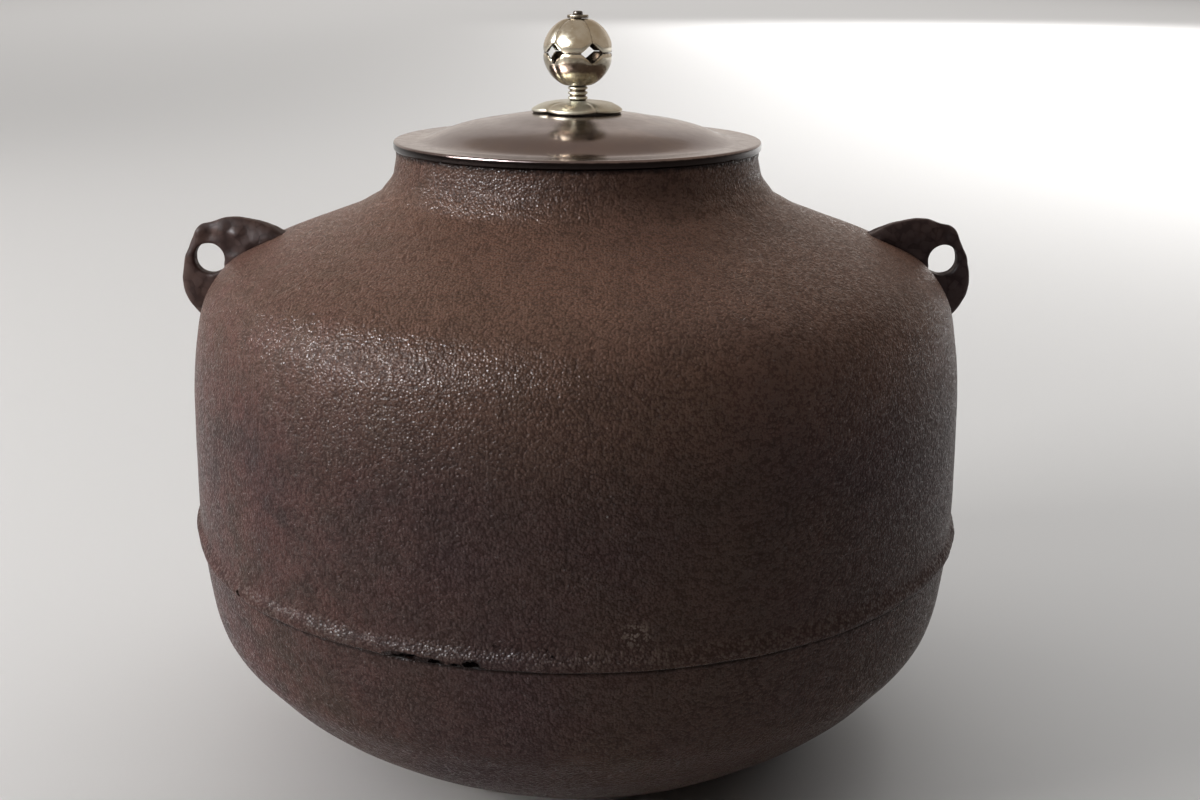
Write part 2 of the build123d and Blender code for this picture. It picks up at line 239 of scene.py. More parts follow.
@dataclass(frozen=True)
class Flaw:
    """A pit, or a bite out of an edge: where it lies on the casting and its half sizes.

    The azimuth and the lean are in degrees, the height and the half sizes in mm.
    """

    azimuth: float
    height: float
    length: float
    tall: float
    depth: float
    lean: float = 0.0
    # dirt: how dark the flaw's dirt and painted shade are
    dirt: float = 0.9
    dirt_and_shade_reach: Pair = (1.7, 1.1)  # where the dirt and painted shade begin and are whole, in half sizes

    def middle(self, radius: float) -> Vector:
        """Its place on a wall of that radius."""
        angle = math.radians(self.azimuth)
        return Vector((radius * math.sin(angle), -radius * math.cos(angle), self.height * MM))

    def dirt_and_shade_from_flaw(self, spot: Vector, radius: float) -> float:
        """How much dirt and painted shade a point of the wall has from the flaw, from 0 to 1."""
        across = wrapped(azimuth(spot) - math.radians(self.azimuth)) * radius / (self.length * MM)
        over = (spot.z - self.height * MM) / (self.tall * MM)
        return self.dirt * smoothstep(*self.dirt_and_shade_reach, math.hypot(across, over))


class Bench:
    """The operations that pieces are made with."""

    @staticmethod
    def clear() -> None:
        """Leaves edit mode and deselects everything."""
        if bpy.context.object and bpy.context.object.mode != "OBJECT":
            bpy.ops.object.mode_set(mode="OBJECT")
        bpy.ops.object.select_all(action="DESELECT")

    @staticmethod
    def pick(piece: Piece) -> None:
        """Makes one piece the only one selected, and the active one."""
        Bench.clear()
        piece.select_set(True)
        bpy.context.view_layer.objects.active = piece

    @staticmethod
    def settle(piece: Piece, name: str) -> Piece:
        """Names a piece and moves its place, turn and scale into its mesh."""
        Bench.pick(piece)
        bpy.ops.object.transform_apply(location=True, rotation=True, scale=True)
        piece.name = name
        piece.data.name = name
        return piece

    @staticmethod
    def turn(name: str, outline: Sequence[Vector], segments: int) -> Piece:
        """Turns an outline round the Z axis, as on a lathe.

        Args:
            name: The piece's name.
            outline: It ends where it starts, or both ends are on the axis.
            segments: Steps round the axis.

        Returns:
            The closed piece, with its faces outwards.
        """
        Bench.clear()
        bpy.ops.mesh.primitive_plane_add(size=MM, location=outline[0])
        piece = Bench.settle(bpy.context.object, name)
        bpy.ops.object.mode_set(mode="EDIT")
        bpy.ops.mesh.select_all(action="SELECT")
        bpy.ops.mesh.merge(type="CENTER")
        for start, end in zip(outline, outline[1:]):
            bpy.ops.mesh.extrude_vertices_move(TRANSFORM_OT_translate={"value": end - start})
        bpy.ops.mesh.select_all(action="SELECT")
        bpy.ops.mesh.spin(steps=segments, angle=TURN, center=(0, 0, 0), axis=(0, 0, 1))
        Bench.close(piece)
        return piece

    @staticmethod
    def close(piece: Piece) -> None:
        """Merges what lies on one point, turns the faces outwards and shades them smooth."""
        Bench.pick(piece)
        bpy.ops.object.mode_set(mode="EDIT")
        bpy.ops.mesh.select_all(action="SELECT")
        bpy.ops.mesh.remove_doubles(threshold=WELD)
        bpy.ops.mesh.normals_make_consistent(inside=False)
        bpy.ops.object.mode_set(mode="OBJECT")
        bpy.ops.object.shade_smooth()

    @staticmethod
    def modify(piece: Piece, kind: str, **settings: object) -> None:
        """Adds a modifier of a kind, such as BEVEL, with its settings by name, and applies it."""
        Bench.pick(piece)
        modifier = piece.modifiers.new(kind.lower(), kind)
        for key, value in settings.items():
            setattr(modifier, key, value)
        bpy.ops.object.modifier_apply(modifier=modifier.name)

    @staticmethod
    def shape(piece: Piece, move: Move) -> None:
        """Moves each vertex by a rule on its place and its normal."""
        places = [(vertex.co.copy(), vertex.normal.copy()) for vertex in piece.data.vertices]
        for vertex, (place, normal) in zip(piece.data.vertices, places):
            vertex.co = move(place, normal)
        piece.data.update()

    @staticmethod
    def paint_dirt_and_shade(piece: Piece, rule: Rule) -> None:
        """Writes the dirt and painted shade attribute by a rule on each vertex's place and normal.
        """
        layer = piece.data.attributes.new(DIRT_SHADE_ATTRIBUTE, "FLOAT", "POINT")
        layer.data.foreach_set("value", [rule(v.co, v.normal) for v in piece.data.vertices])

    @staticmethod
    def join(pieces: Sequence[Piece], name: str) -> Piece:
        """Makes several pieces one, under a name."""
        Bench.pick(pieces[0])
        for piece in pieces:
            piece.select_set(True)
        bpy.ops.object.join()
        return Bench.settle(pieces[0], name)

    @staticmethod
    def carve(piece: Piece, flaws: Sequence[Flaw], radius: float) -> None:
        """Cuts flaws out of a closed piece, as uneven lumps on a wall of that radius."""
        tools = [Bench.pebble(flaw, radius, 1.9 * index) for index, flaw in enumerate(flaws)]
        cutter = Bench.join(tools, "flaws")
        Bench.modify(piece, "BOOLEAN", operation="DIFFERENCE", solver="MANIFOLD", object=cutter)
        bpy.data.objects.remove(cutter)
        Bench.pick(piece)
        bpy.ops.object.shade_smooth_by_angle(angle=SHARP)

    @staticmethod
    def pebble(flaw: Flaw, radius: float, seed: float) -> Piece:
        """An uneven closed lump with a flaw's place and sizes."""

        def lumpy(spot: Vector, normal: Vector) -> Vector:
            """Moves a point of the ball in or out."""
            coarse = noise.noise(spot * 1.9 + Vector((seed, 0, 0)))
            return spot * (1.0 + 0.5 * coarse + 0.2 * noise.noise(spot * 5.0))

        Bench.clear()
        bpy.ops.mesh.primitive_ico_sphere_add(subdivisions=4, radius=1.0)
        lump = bpy.context.object
        Bench.shape(lump, lumpy)
        turn = Matrix.Rotation(math.radians(flaw.azimuth), 4, "Z")
        lean = Matrix.Rotation(math.radians(flaw.lean), 4, "Y")
        size = Matrix.Diagonal((flaw.length * MM, flaw.depth * MM, flaw.tall * MM, 1.0))
        lump.matrix_world = Matrix.Translation(flaw.middle(radius)) @ (turn @ lean) @ size
        return Bench.settle(lump, "flaw")


def place(piece: Piece, body: Body, slot: Slot, material: Material, node: str) -> None:
    """Dresses a finished piece and ties it to the frame.

    Args:
        piece: The finished piece.
        body: The body it moves with.
        slot: The slot for its finish; not used.
        material: Its material.
        node: The frame's node that it stands for.
    """
    piece.data.materials.clear()
    piece.data.materials.append(material)
    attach(piece, body.value)
    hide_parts(node)
    log.info("%s: %d faces, rides on %s", piece.name, len(piece.data.polygons), body.value)


class Graph:
    """A node tree while it is put together."""

    def __init__(self, tree: bpy.types.NodeTree) -> None:
        """Keeps the tree that nodes are added to."""
        self.tree = tree

    def node(self, kind: str, inputs: dict | None = None, **settings: object) -> Sockets:
        """Adds a node.

        Args:
            kind: The node's type.
            inputs: Values or sockets, by the input's name or number.
            **settings: The node's own settings.

        Returns:
            The new node's outputs.
        """
        made = self.tree.nodes.new(kind)
        for key, value in settings.items():
            setattr(made, key, value)
        for key, value in (inputs or {}).items():
            if isinstance(value, Socket):
                self.tree.links.new(value, made.inputs[key])
            else:
                made.inputs[key].default_value = value
        return made.outputs

    def calc(self, operation: str, *values: object) -> Socket:
        """The result of a Math node on numbers or sockets."""
        return self.node("ShaderNodeMath", dict(enumerate(values)), operation=operation)[0]

    def times(self, first: object, second: object) -> Socket:
        """The product of two numbers or sockets."""
        return self.calc("MULTIPLY", first, second)

    def ramp(self, value: object, low: float, high: float) -> Socket:
        """0 where the value is below low, 1 where it is above high, smooth between."""
        inputs = {"Value": value, "From Min": low, "From Max": high}
        return self.node("ShaderNodeMapRange", inputs, interpolation_type="SMOOTHSTEP")[0]

    def scaled(self, value: object, low: float, high: float) -> Socket:
        """Spreads a value from 0 to 1 over low to high."""
        return self.node("ShaderNodeMapRange", {"Value": value, "To Min": low, "To Max": high})[0]

    def layered(self, skin: object, *layers: tuple[Socket, Colour]) -> Socket:
        """Lays colours over a first one, each where its mask is 1."""
        for mask, colour in layers:
            skin = self.node("ShaderNodeMix", {0: mask, 6: skin, 7: colour}, data_type="RGBA")[2]
        return skin

    def noise(
        self, vector: Socket, scale: Socket, detail: float = 4, rough: float = 0.55, warp: float = 0
    ) -> Socket:
        """A noise from 0 to 1."""
        inputs = {"Vector": vector, "Scale": scale, "Detail": detail, "Roughness": rough}
        return self.node("ShaderNodeTexNoise", inputs | {"Distortion": warp})["Fac"]


@dataclass(frozen=True)
class Effect:
    """A shader group that several finishes use, built once.

    It takes a Vector and a density. The wiring makes its outputs, in order, from these two.
    """

    name: str
    density: str
    outputs: tuple[str, ...]
    wire: Callable[[Graph, Socket, Socket], tuple[Socket, ...]]

    def use(self, graph: Graph, vector: Socket, density: float) -> Sockets:
        """Places the effect in a graph, and gives its outputs."""
        inputs = {"Vector": vector, self.density: density}
        tree = bpy.data.node_groups.get(self.name) or self.build()
        return graph.node("ShaderNodeGroup", inputs, node_tree=tree)

    def build(self) -> bpy.types.NodeTree:
        """Builds the group."""
        tree = bpy.data.node_groups.new(self.name, "ShaderNodeTree")
        add = tree.interface.new_socket
        add(name="Vector", in_out="INPUT", socket_type="NodeSocketVector")
        add(name=self.density, in_out="INPUT", socket_type="NodeSocketFloat")
        for label in self.outputs:
            add(name=label, in_out="OUTPUT", socket_type="NodeSocketFloat")
        graph = Graph(tree)
        given = graph.node("NodeGroupInput")
        made = self.wire(graph, given["Vector"], given[self.density])
        graph.node("NodeGroupOutput", dict(zip(self.outputs, made)))
        return tree


def wire_grain(graph: Graph, vector: Socket, density: Socket) -> tuple[Socket, Socket]:
    """The sandy skin of a casting: Height for a bump, and Speck where single grains stand out."""
    clump_share, grit_share, size_share = 0.45, 0.30, 0.25
    inputs = {"Vector": vector, "Scale": density, "Smoothness": 0.1}
    cells = graph.node("ShaderNodeTexVoronoi", inputs, feature="SMOOTH_F1")
    grit = graph.calc("SUBTRACT", 1.0, cells["Distance"])
    size = graph.node("ShaderNodeSeparateXYZ", {0: cells["Color"]})["X"]
    clumps = graph.noise(vector, graph.times(density, 0.45), detail=3.0)
    height = graph.calc("MULTIPLY_ADD", clumps, clump_share, graph.times(grit, grit_share))
    height = graph.calc("MULTIPLY_ADD", size, size_share, height)
    return height, graph.ramp(height, 0.45, 0.65)


def wire_drift(graph: Graph, vector: Socket, density: Socket) -> tuple[Socket, Socket]:
    """How a finish has aged unevenly: Broad patches and Mottle inside them, from 0 to 1."""
    broad = graph.noise(vector, density, detail=3.0, warp=0.4)
    mottle = graph.noise(vector, graph.times(density, 9.0), detail=5.0, rough=0.65)
    return graph.ramp(broad, 0.32, 0.68), graph.ramp(mottle, 0.30, 0.72)


def wire_dirt_and_shade(graph: Graph, vector: Socket, density: Socket) -> tuple[Socket]:
    """Dirt and painted shade where a piece's dirt and painted shade attribute marks them, with a
    broken edge.
    """
    dirt_and_painted_shade = graph.node("ShaderNodeAttribute", attribute_name=DIRT_SHADE_ATTRIBUTE)["Fac"]
    breaks = graph.scaled(graph.noise(vector, density), -0.35, 0.35)
    return (graph.ramp(graph.calc("ADD", dirt_and_painted_shade, breaks), 0.25, 0.85),)


GRAIN = Effect("casting grain", "Grains per metre", ("Height", "Speck"), wire_grain)
DRIFT = Effect("age drift", "Patches per metre", ("Broad", "Mottle"), wire_drift)
DIRT_SHADE_EFFECT = Effect("settled dirt and painted shade", "Breaks per metre", ("Mask",), wire_dirt_and_shade)


class Finish:
    """What every finish shares: a Principled shader, aged in patches, over a cast grain."""

    name: str
    relief: float
    roughness: Pair
    patches_per_metre: float
    grains_per_metre: float
    metallic: float = 0.0

    def skin(self, graph: Graph, spot: Socket, drift: Sockets, grain: Sockets) -> dict[str, Socket]:
        """Wires the finish's own inputs of the shader, by name.

        Args:
            graph: The material's graph.
            spot: The piece's own coordinates.
            drift: Broad and Mottle, how the finish has aged.
            grain: Height and Speck of the casting's grain.

        Returns:
            The sockets for Base Color, Roughness and any other input.
        """
        raise NotImplementedError

    def material(self) -> Material:
        """Builds the material."""
        material = bpy.data.materials.new(self.name)
        material.use_nodes = True
        material.node_tree.nodes.clear()
        graph = Graph(material.node_tree)
        spot = graph.node("ShaderNodeTexCoord")["Object"]
        drift = DRIFT.use(graph, spot, self.patches_per_metre)
        grain = GRAIN.use(graph, spot, self.grains_per_metre)
        bump = graph.node("ShaderNodeBump", {"Height": grain["Height"], "Distance": self.relief})
        inputs = {"Metallic": self.metallic, "Normal": bump["Normal"]}
        inputs |= self.skin(graph, spot, drift, grain)
        shader = graph.node("ShaderNodeBsdfPrincipled", inputs)
        graph.node("ShaderNodeOutputMaterial", {"Surface": shader[0]})
        return material


@dataclass(frozen=True)
class IronFinish(Finish):
    """Old cast iron under a thin brown skin of lacquer and rust.

    Pairs give a mask's place or height at 0 and 1, or a share at both ends of its mask.
    """

    name: str = "old cast iron"
    # hollow: the dark of the painted shade between the grains, and of the dirt and painted shade
    hollow: Colour = (0.0160, 0.0092, 0.0080, 1.0)
    purple: Colour = (0.050, 0.0295, 0.0295, 1.0)
    brown: Colour = (0.062, 0.0380, 0.0290, 1.0)
    rust: Colour = (0.140, 0.0600, 0.0530, 1.0)
    tan: Colour = (0.240, 0.1330, 0.0910, 1.0)
    ash: Colour = (0.170, 0.1300, 0.1080, 1.0)
    patches_per_metre: float = 11.0
    grains_per_metre: float = 1200.0
    breaks_per_metre: float = 420.0
    relief: float = 0.80 * MM
    gloss: Pair = (0.045, 0.14)
    roughness: Pair = (0.40, 0.22)
    # heights of the tan patina with painted top light on the shoulder
    lit_shoulder: Pair = (0.120, 0.182)
    neck: Pair = (0.199, 0.187)
    neck_share: Pair = (0.5, 1.0)
    tan_and_top_light_share: Pair = (0.55, 0.85)
    left: Pair = (-0.02, -0.13)
    rust_and_side_light_share: Pair = (0.10, 0.75)
    speck_share: float = 0.05
    grain_shade_heights: Pair = (0.52, 0.38)
    grain_shade_share: float = 0.40
    rub_foot: Pair = (0.0765, 0.0785)
    rub_top: Pair = (0.0840, 0.0805)
    rub_and_highlight_share: Pair = (0.12, 0.26)
    rub_roughness: float = 0.8
    scuff: Triple = (0.0158, -0.1287, 0.0865)
    scuff_reach: float = 6.0 * MM
    scuff_grain: Pair = (0.48, 0.56)

    def skin(self, graph: Graph, spot: Socket, drift: Sockets, grain: Sockets) -> dict[str, Socket]:
        """Wires the skin: tan patina and painted top light above, rust and painted light at the
        left, painted shade between the grains, dirt and painted shade where the mask marks, pale
        where worn and where a highlight is painted on the ridge.
        """
        x, _, z = graph.node("ShaderNodeSeparateXYZ", {0: spot})
        mottle, speck = drift["Mottle"], grain["Speck"]
        # tan patina with painted top light above the shoulder, weaker up the neck
        neck = graph.scaled(graph.ramp(z, *self.neck), *self.neck_share)
        high = graph.times(graph.ramp(z, *self.lit_shoulder), neck)
        # rust with painted light on the kettle's left side, towards the window
        left = graph.ramp(x, *self.left)
        # wear and a painted highlight on the ridge, stronger on the left side
        rub_and_highlight = graph.times(graph.ramp(z, *self.rub_foot), graph.scaled(left, *self.rub_and_highlight_share))
        rub_and_highlight = graph.times(rub_and_highlight, graph.ramp(z, *self.rub_top))
        # painted shade in the grain's low places
        low = graph.ramp(grain["Height"], *self.grain_shade_heights)
        skin = graph.layered(
            self.purple,
            (drift["Broad"], self.brown),
            (graph.times(high, graph.scaled(mottle, *self.tan_and_top_light_share)), self.tan),
            (graph.times(mottle, graph.scaled(left, *self.rust_and_side_light_share)), self.rust),
            (graph.times(speck, self.speck_share), self.ash),
            (graph.times(low, self.grain_shade_share), self.hollow),
            (graph.times(rub_and_highlight, speck), self.ash),
            (self.scuffed(graph, spot, grain["Height"]), self.ash),
            (DIRT_SHADE_EFFECT.use(graph, spot, self.breaks_per_metre)["Mask"], self.hollow),
        )
        rough = graph.scaled(speck, *self.roughness)
        rough = graph.calc("MULTIPLY_ADD", rub_and_highlight, self.rub_roughness, rough)
        gloss = graph.scaled(speck, *self.gloss)
        return {"Base Color": skin, "Roughness": rough, "Specular IOR Level": gloss}

    def scuffed(self, graph: Graph, spot: Socket, height: Socket) -> Socket:
        """The mask of a small pale scuff above the ridge, on the tops of the grains."""
        inputs = {0: spot, 1: self.scuff}
        away = graph.node("ShaderNodeVectorMath", inputs, operation="DISTANCE")["Value"]
        near = graph.ramp(away, self.scuff_reach, 0.0)
        return graph.times(near, graph.ramp(height, *self.scuff_grain))


@dataclass(frozen=True)
class MetalFinish(Finish):
    """Polished metal, here pale brass, that has aged in patches, with dark creases and painted
    shade where its mask marks.
    """

    name: str = "pale knob metal"
    clear: Colour = (0.54, 0.50, 0.41, 1.0)
    aged: Colour = (0.43, 0.37, 0.27, 1.0)
    stain_and_shade: Colour = (0.085, 0.064, 0.046, 1.0)
    roughness: Pair = (0.16, 0.28)
    patches_per_metre: float = 150.0
    grains_per_metre: float = 1300.0
    breaks_per_metre: float = 900.0
    relief: float = 0.015 * MM
    mottle_share: float = 0.0
    metallic: float = 1.0

    def skin(self, graph: Graph, spot: Socket, drift: Sockets, grain: Sockets) -> dict[str, Socket]:
        """Wires the clear metal, its aged patches, and the stain and painted shade that its mask
        marks.
        """
        layers = [(drift["Broad"], self.aged)]
        if self.mottle_share:
            layers += [(graph.times(drift["Mottle"], self.mottle_share), self.aged)]
        layers += [(DIRT_SHADE_EFFECT.use(graph, spot, self.breaks_per_metre)["Mask"], self.stain_and_shade)]
        rough = graph.scaled(drift["Mottle"], *self.roughness)
        return {"Base Color": graph.layered(self.clear, *layers), "Roughness": rough}


@dataclass(frozen=True)
class DullFinish(Finish):
    """A dull, rough skin: dry putty, lacquer pads, plate iron or the pin's blackened iron."""

    name: str
    dark: Colour
    light: Colour
    roughness: Pair
    patches_per_metre: float
    grains_per_metre: float
    relief: float
    metallic: float = 0.0
    speck_share: float = 0.4

    def skin(self, graph: Graph, spot: Socket, drift: Sockets, grain: Sockets) -> dict[str, Socket]:
        """Wires the dark skin, lighter in its mottle and on single grains."""
        specks = graph.times(grain["Speck"], self.speck_share)
        skin = graph.layered(self.dark, (drift["Mottle"], self.light), (specks, self.light))
        return {"Base Color": skin, "Roughness": graph.scaled(drift["Broad"], *self.roughness)}


SEAM_BITES = (
    Flaw(-21.4, 77.0, 5.2, 1.0, 3.2, -7.0),
    Flaw(-17.4, 76.9, 2.2, 0.9, 3.0, 6.0),
    Flaw(-14.7, 76.6, 1.6, 0.6, 2.6),
    Flaw(-12.6, 77.3, 2.5, 1.3, 3.2, 8.0),
)
WALL_PITS = (
    Flaw(-34.5, 90.5, 0.9, 0.9, 0.5, 20.0, 0.35),
    Flaw(-10.5, 96.0, 0.4, 1.4, 0.5, 22.0, 0.35),
    Flaw(-8.0, 96.5, 0.3, 0.8, 0.4, 10.0, 0.3),
    Flaw(-10.0, 83.2, 0.7, 0.6, 0.6, 0.0, 0.4),
    Flaw(-3.6, 82.4, 0.6, 0.4, 0.6, 0.0, 0.35),
    Flaw(-3.0, 80.9, 0.4, 0.4, 1.6, 0.0, 0.35),
    Flaw(-51.5, 77.9, 1.4, 0.9, 2.3, 30.0, 0.5),
)


@dataclass
class KettleShell:
    """The cast iron body from its mouth down to the waist ridge."""

    wall: float = 3.2 * MM
    mouth_radius: float = 60.2 * MM
    mouth_wall: float = 4.5 * MM
    lip_depth: float = 9.0 * MM
    wall_radius: float = 130.3 * MM
    ridge_height: float = 7.0 * MM
    ridge_stand: float = 1.8 * MM
    foot_stand: float = 0.7 * MM
    crest_share: float = 0.30
    socket_height: float = 10.0 * MM
    lip_round: float = 0.8 * MM
    even_lip: float = 2.0 * MM
    unevenness: float = 0.45 * MM
    waves: tuple[Pair, ...] = ((0.5, 21.0), (0.18, 95.0))
    ridge_wear: float = 0.7 * MM
    ridge_waves: tuple[Pair, ...] = ((0.6, 60.0), (0.4, 230.0))
    torn_azimuth: float = math.radians(-98.0)
    torn_reach: float = math.radians(42.0)
    torn_stand: float = 1.7 * MM
    torn_foot: float = 0.15
    torn_share: float = 0.85
    step: float = 1.3 * MM
    segments: int = 360
    flaws: tuple[Flaw, ...] = SEAM_BITES + WALL_PITS
    shares: tuple[Triple, ...] = (
        (0.0, 1.0, 90.0),
        (0.016, 0.942, 82.0),
        (0.072, 0.891, 56.0),
        (0.172, 0.851, 32.0),
        (0.35, 0.806, 21.0),
        (0.64, 0.741, 24.0),
        (0.81, 0.687, 38.0),
        (0.905, 0.619, 61.0),
        (0.95, 0.534, 80.0),
        (0.987, 0.354, 88.0),
        (1.0, 0.0, 90.0),
    )
    plain_from: int = 4

    def __post_init__(self) -> None:
        """Reads the heights of the shell from the frame."""
        low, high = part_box("body_shell")
        self.seam = low.z
        self.mouth = high.z
        self.ridge_top = self.seam + self.ridge_height

    def outline(self) -> list[Vector]:
        """The whole closed outline: outer face, ridge, socket, inner face and lip."""
        radii, heights = (self.mouth_radius, self.wall_radius), (self.ridge_top, self.mouth)
        outer = spread(self.shares, radii, heights)
        crest_height = self.seam + self.ridge_height * self.crest_share
        crest = Station(self.wall_radius + self.ridge_stand, crest_height, 90.0)
        foot = Station(self.wall_radius + self.foot_stand, self.seam, 180.0)
        inner_radius = self.wall_radius - self.wall
        socket = Station(inner_radius, self.seam + self.socket_height, 90.0)
        neck = Station(self.mouth_radius - self.mouth_wall, self.mouth - self.lip_depth, 90.0)
        sunk = [station.sunk(self.wall) for station in outer[self.plain_from : -1]]
        points = swept(outer, self.step)
        points += swept([outer[-1], crest, foot], self.step / 2)[1:]
        points += stepped(points[-1], at(inner_radius, self.seam), self.step)
        points += stepped(points[-1], socket.point(), self.step)
        points += swept([neck, *sunk, socket], 2 * self.step)[-2::-1]
        lip = (
            (neck.radius, neck.height),
            (neck.radius, self.mouth, self.lip_round),
            (self.mouth_radius, self.mouth),
        )
        return points + cornered(lip, self.step)[1:]

    def weather(self, spot: Vector, normal: Vector) -> Vector:
        """Moves a point of the outer face in by the casting's unevenness and the ridge's wear."""
        outward = Vector((spot.x, spot.y, 2.0 * (spot.z - self.ridge_top))).normalized()
        if normal.dot(outward) < 0.2 or spot.z > self.mouth - self.even_lip:
            return spot
        depth = self.unevenness * uneven(spot, self.waves)
        radial = normal
        if spot.z < self.ridge_top:
            radial = Vector((spot.x, spot.y, 0.0)).normalized()
            fade = smoothstep(self.ridge_top, self.ridge_top - 3 * MM, spot.z)
            depth += self.ridge_wear * uneven(spot, self.ridge_waves) * fade
        return self.torn(spot - radial * depth, radial)

    def torn(self, spot: Vector, radial: Vector) -> Vector:
        """Where the ridge is torn, its edge stands out at its top and it slants in below."""
        off = abs(wrapped(azimuth(spot) - self.torn_azimuth)) / self.torn_reach
        up = (spot.z - self.seam) / self.ridge_height
        if off > 1.0 or not 0.0 < up < 1.0:
            return spot
        slant = self.torn_foot + (1.0 - self.torn_foot) * up
        stand = self.torn_stand * slant * smoothstep(1.0, 0.86, up)
        change = self.wall_radius + stand - flat(spot)
        return spot + radial * change * smoothstep(1.0, 0.6, off) * self.torn_share

    def dirt_and_shadow(self, spot: Vector, normal: Vector) -> float:
        """Towards 1 for dirt and painted shade in the flaws, and for painted shadow at the seam
        under the ridge and on the neck under the lid's rim.
        """
        # painted shadow under the ridge's foot, and below it painted shadow of the lid's rim on the
        # neck
        seam = 0.6 * smoothstep(self.seam + 0.9 * MM, self.seam, spot.z)
        neck = 0.8 * smoothstep(self.mouth - 2.2 * MM, self.mouth - 0.4 * MM, spot.z)
        return max([seam, neck] + [flaw.dirt_and_shade_from_flaw(spot, self.wall_radius) for flaw in self.flaws])

    def build(self, finish: Material) -> None:
        """Models and dresses the shell."""
        shell = Bench.turn("iron_shell", self.outline(), self.segments)
        Bench.shape(shell, self.weather)
        Bench.carve(shell, self.flaws, self.wall_radius)
        Bench.paint_dirt_and_shade(shell, self.dirt_and_shadow)
        place(shell, Body.KETTLE, Slot.IRON, finish, "body_shell")


@dataclass
class BottomBowl:
    """The cast iron bowl, let into the shell from below."""

    wall: float = 3.2 * MM
    top_radius: float = 129.9 * MM
    base_radius: float = 53.0 * MM
    spigot_height: float = 10.0 * MM
    spigot_radius: float = 126.6 * MM
    spigot_foot: float = 64.0 * MM
    spigot_round: float = 0.5 * MM
    ledge_round: float = 0.6 * MM
    unevenness: float = 0.4 * MM
    waves: tuple[Pair, ...] = ((0.5, 23.0), (0.2, 90.0))
    step: float = 1.6 * MM
    segments: int = 360
    shares: tuple[Triple, ...] = (
        (1.0, 1.0, 93.0),
        (0.975, 0.755, 98.0),
        (0.948, 0.639, 108.0),
        (0.882, 0.528, 130.0),
        (0.733, 0.354, 137.0),
        (0.575, 0.223, 144.0),
        (0.425, 0.121, 150.5),
        (0.0, 0.0, 180.0),
    )
    plain_from: int = 2

    def __post_init__(self) -> None:
        """Reads the spigot's top from the frame."""
        self.spigot_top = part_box("bottom_bowl")[1].z
        self.ledge = self.spigot_top - self.spigot_height

    def outline(self) -> list[Vector]:
        """The outline from the axis below, round the wall, to the axis inside."""
        outer = spread(self.shares, (self.base_radius, self.top_radius), (0.0, self.ledge))
        spigot_inner = self.spigot_radius - self.wall
        inner = [Station(spigot_inner, self.spigot_foot, 90.0)]
        inner += [station.sunk(self.wall) for station in outer[self.plain_from :]]
        points = [at(0, 0)] + stepped(at(0, 0), at(self.base_radius, 0), 3 * self.step)
        points += swept(outer, self.step)[-2:0:-1]
        spigot = (
            (points[-1].x, points[-1].z),
            (self.top_radius, self.ledge, self.ledge_round),
            (self.spigot_radius, self.ledge),
            (self.spigot_radius, self.spigot_top, self.spigot_round),
            (spigot_inner, self.spigot_top, self.spigot_round),
            (spigot_inner, self.spigot_foot),
        )
        points[-1:] = cornered(spigot, self.step)
        points += swept(inner, 2 * self.step)[1:]
        return points + stepped(points[-1], at(0, self.wall), 3 * self.step)

    def weather(self, spot: Vector, normal: Vector) -> Vector:
        """Moves a point of the outer face in by the casting's unevenness."""
        outward = Vector((spot.x, spot.y, -0.06)).normalized()
        if normal.dot(outward) < 0.1 or not 1.0 * MM <= spot.z <= self.ledge - 0.1 * MM:
            return spot
        return spot - normal * self.unevenness * uneven(spot, self.waves)

    def dirt_and_shadow(self, spot: Vector, normal: Vector) -> float:
        """Painted shadow under the shell's edge."""
        return 0.75 * smoothstep(self.ledge - 2.2 * MM, self.ledge, spot.z)

    def build(self, finish: Material) -> None:
        """Models and dresses the bowl."""
        bowl = Bench.turn("iron_bowl", self.outline(), self.segments)
        Bench.shape(bowl, self.weather)
        Bench.paint_dirt_and_shade(bowl, self.dirt_and_shadow)
        place(bowl, Body.KETTLE, Slot.IRON, finish, "bottom_bowl")


@dataclass
class SeamPutty:
    """The putty in the seam between bowl and shell, with the places where it has dropped out."""

    socket_radius: float = 127.05 * MM
    spigot_radius: float = 126.6 * MM
    band: float = 0.45 * MM
    proud: float = 0.12 * MM
    dirt: float = 0.5
    step: float = 3.0 * MM
    segments: int = 360

    def build(self, finish: Material) -> None:
        """Models and dresses the putty."""
        low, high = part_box("seam_lacquer")
        outer, top = high.x + self.proud, low.z + self.band
        corners = (
            (self.spigot_radius, low.z),
            (outer, low.z),
            (outer, top),
            (self.socket_radius, top),
            (self.socket_radius, high.z),
            (self.spigot_radius, high.z),
            (self.spigot_radius, low.z),
        )
        putty = Bench.turn("seam_putty", cornered(corners, self.step), self.segments)
        Bench.carve(putty, SEAM_BITES, outer)
        Bench.paint_dirt_and_shade(putty, lambda spot, normal: self.dirt)
        place(putty, Body.KETTLE, Slot.SEAM_PUTTY, finish, "seam_lacquer")


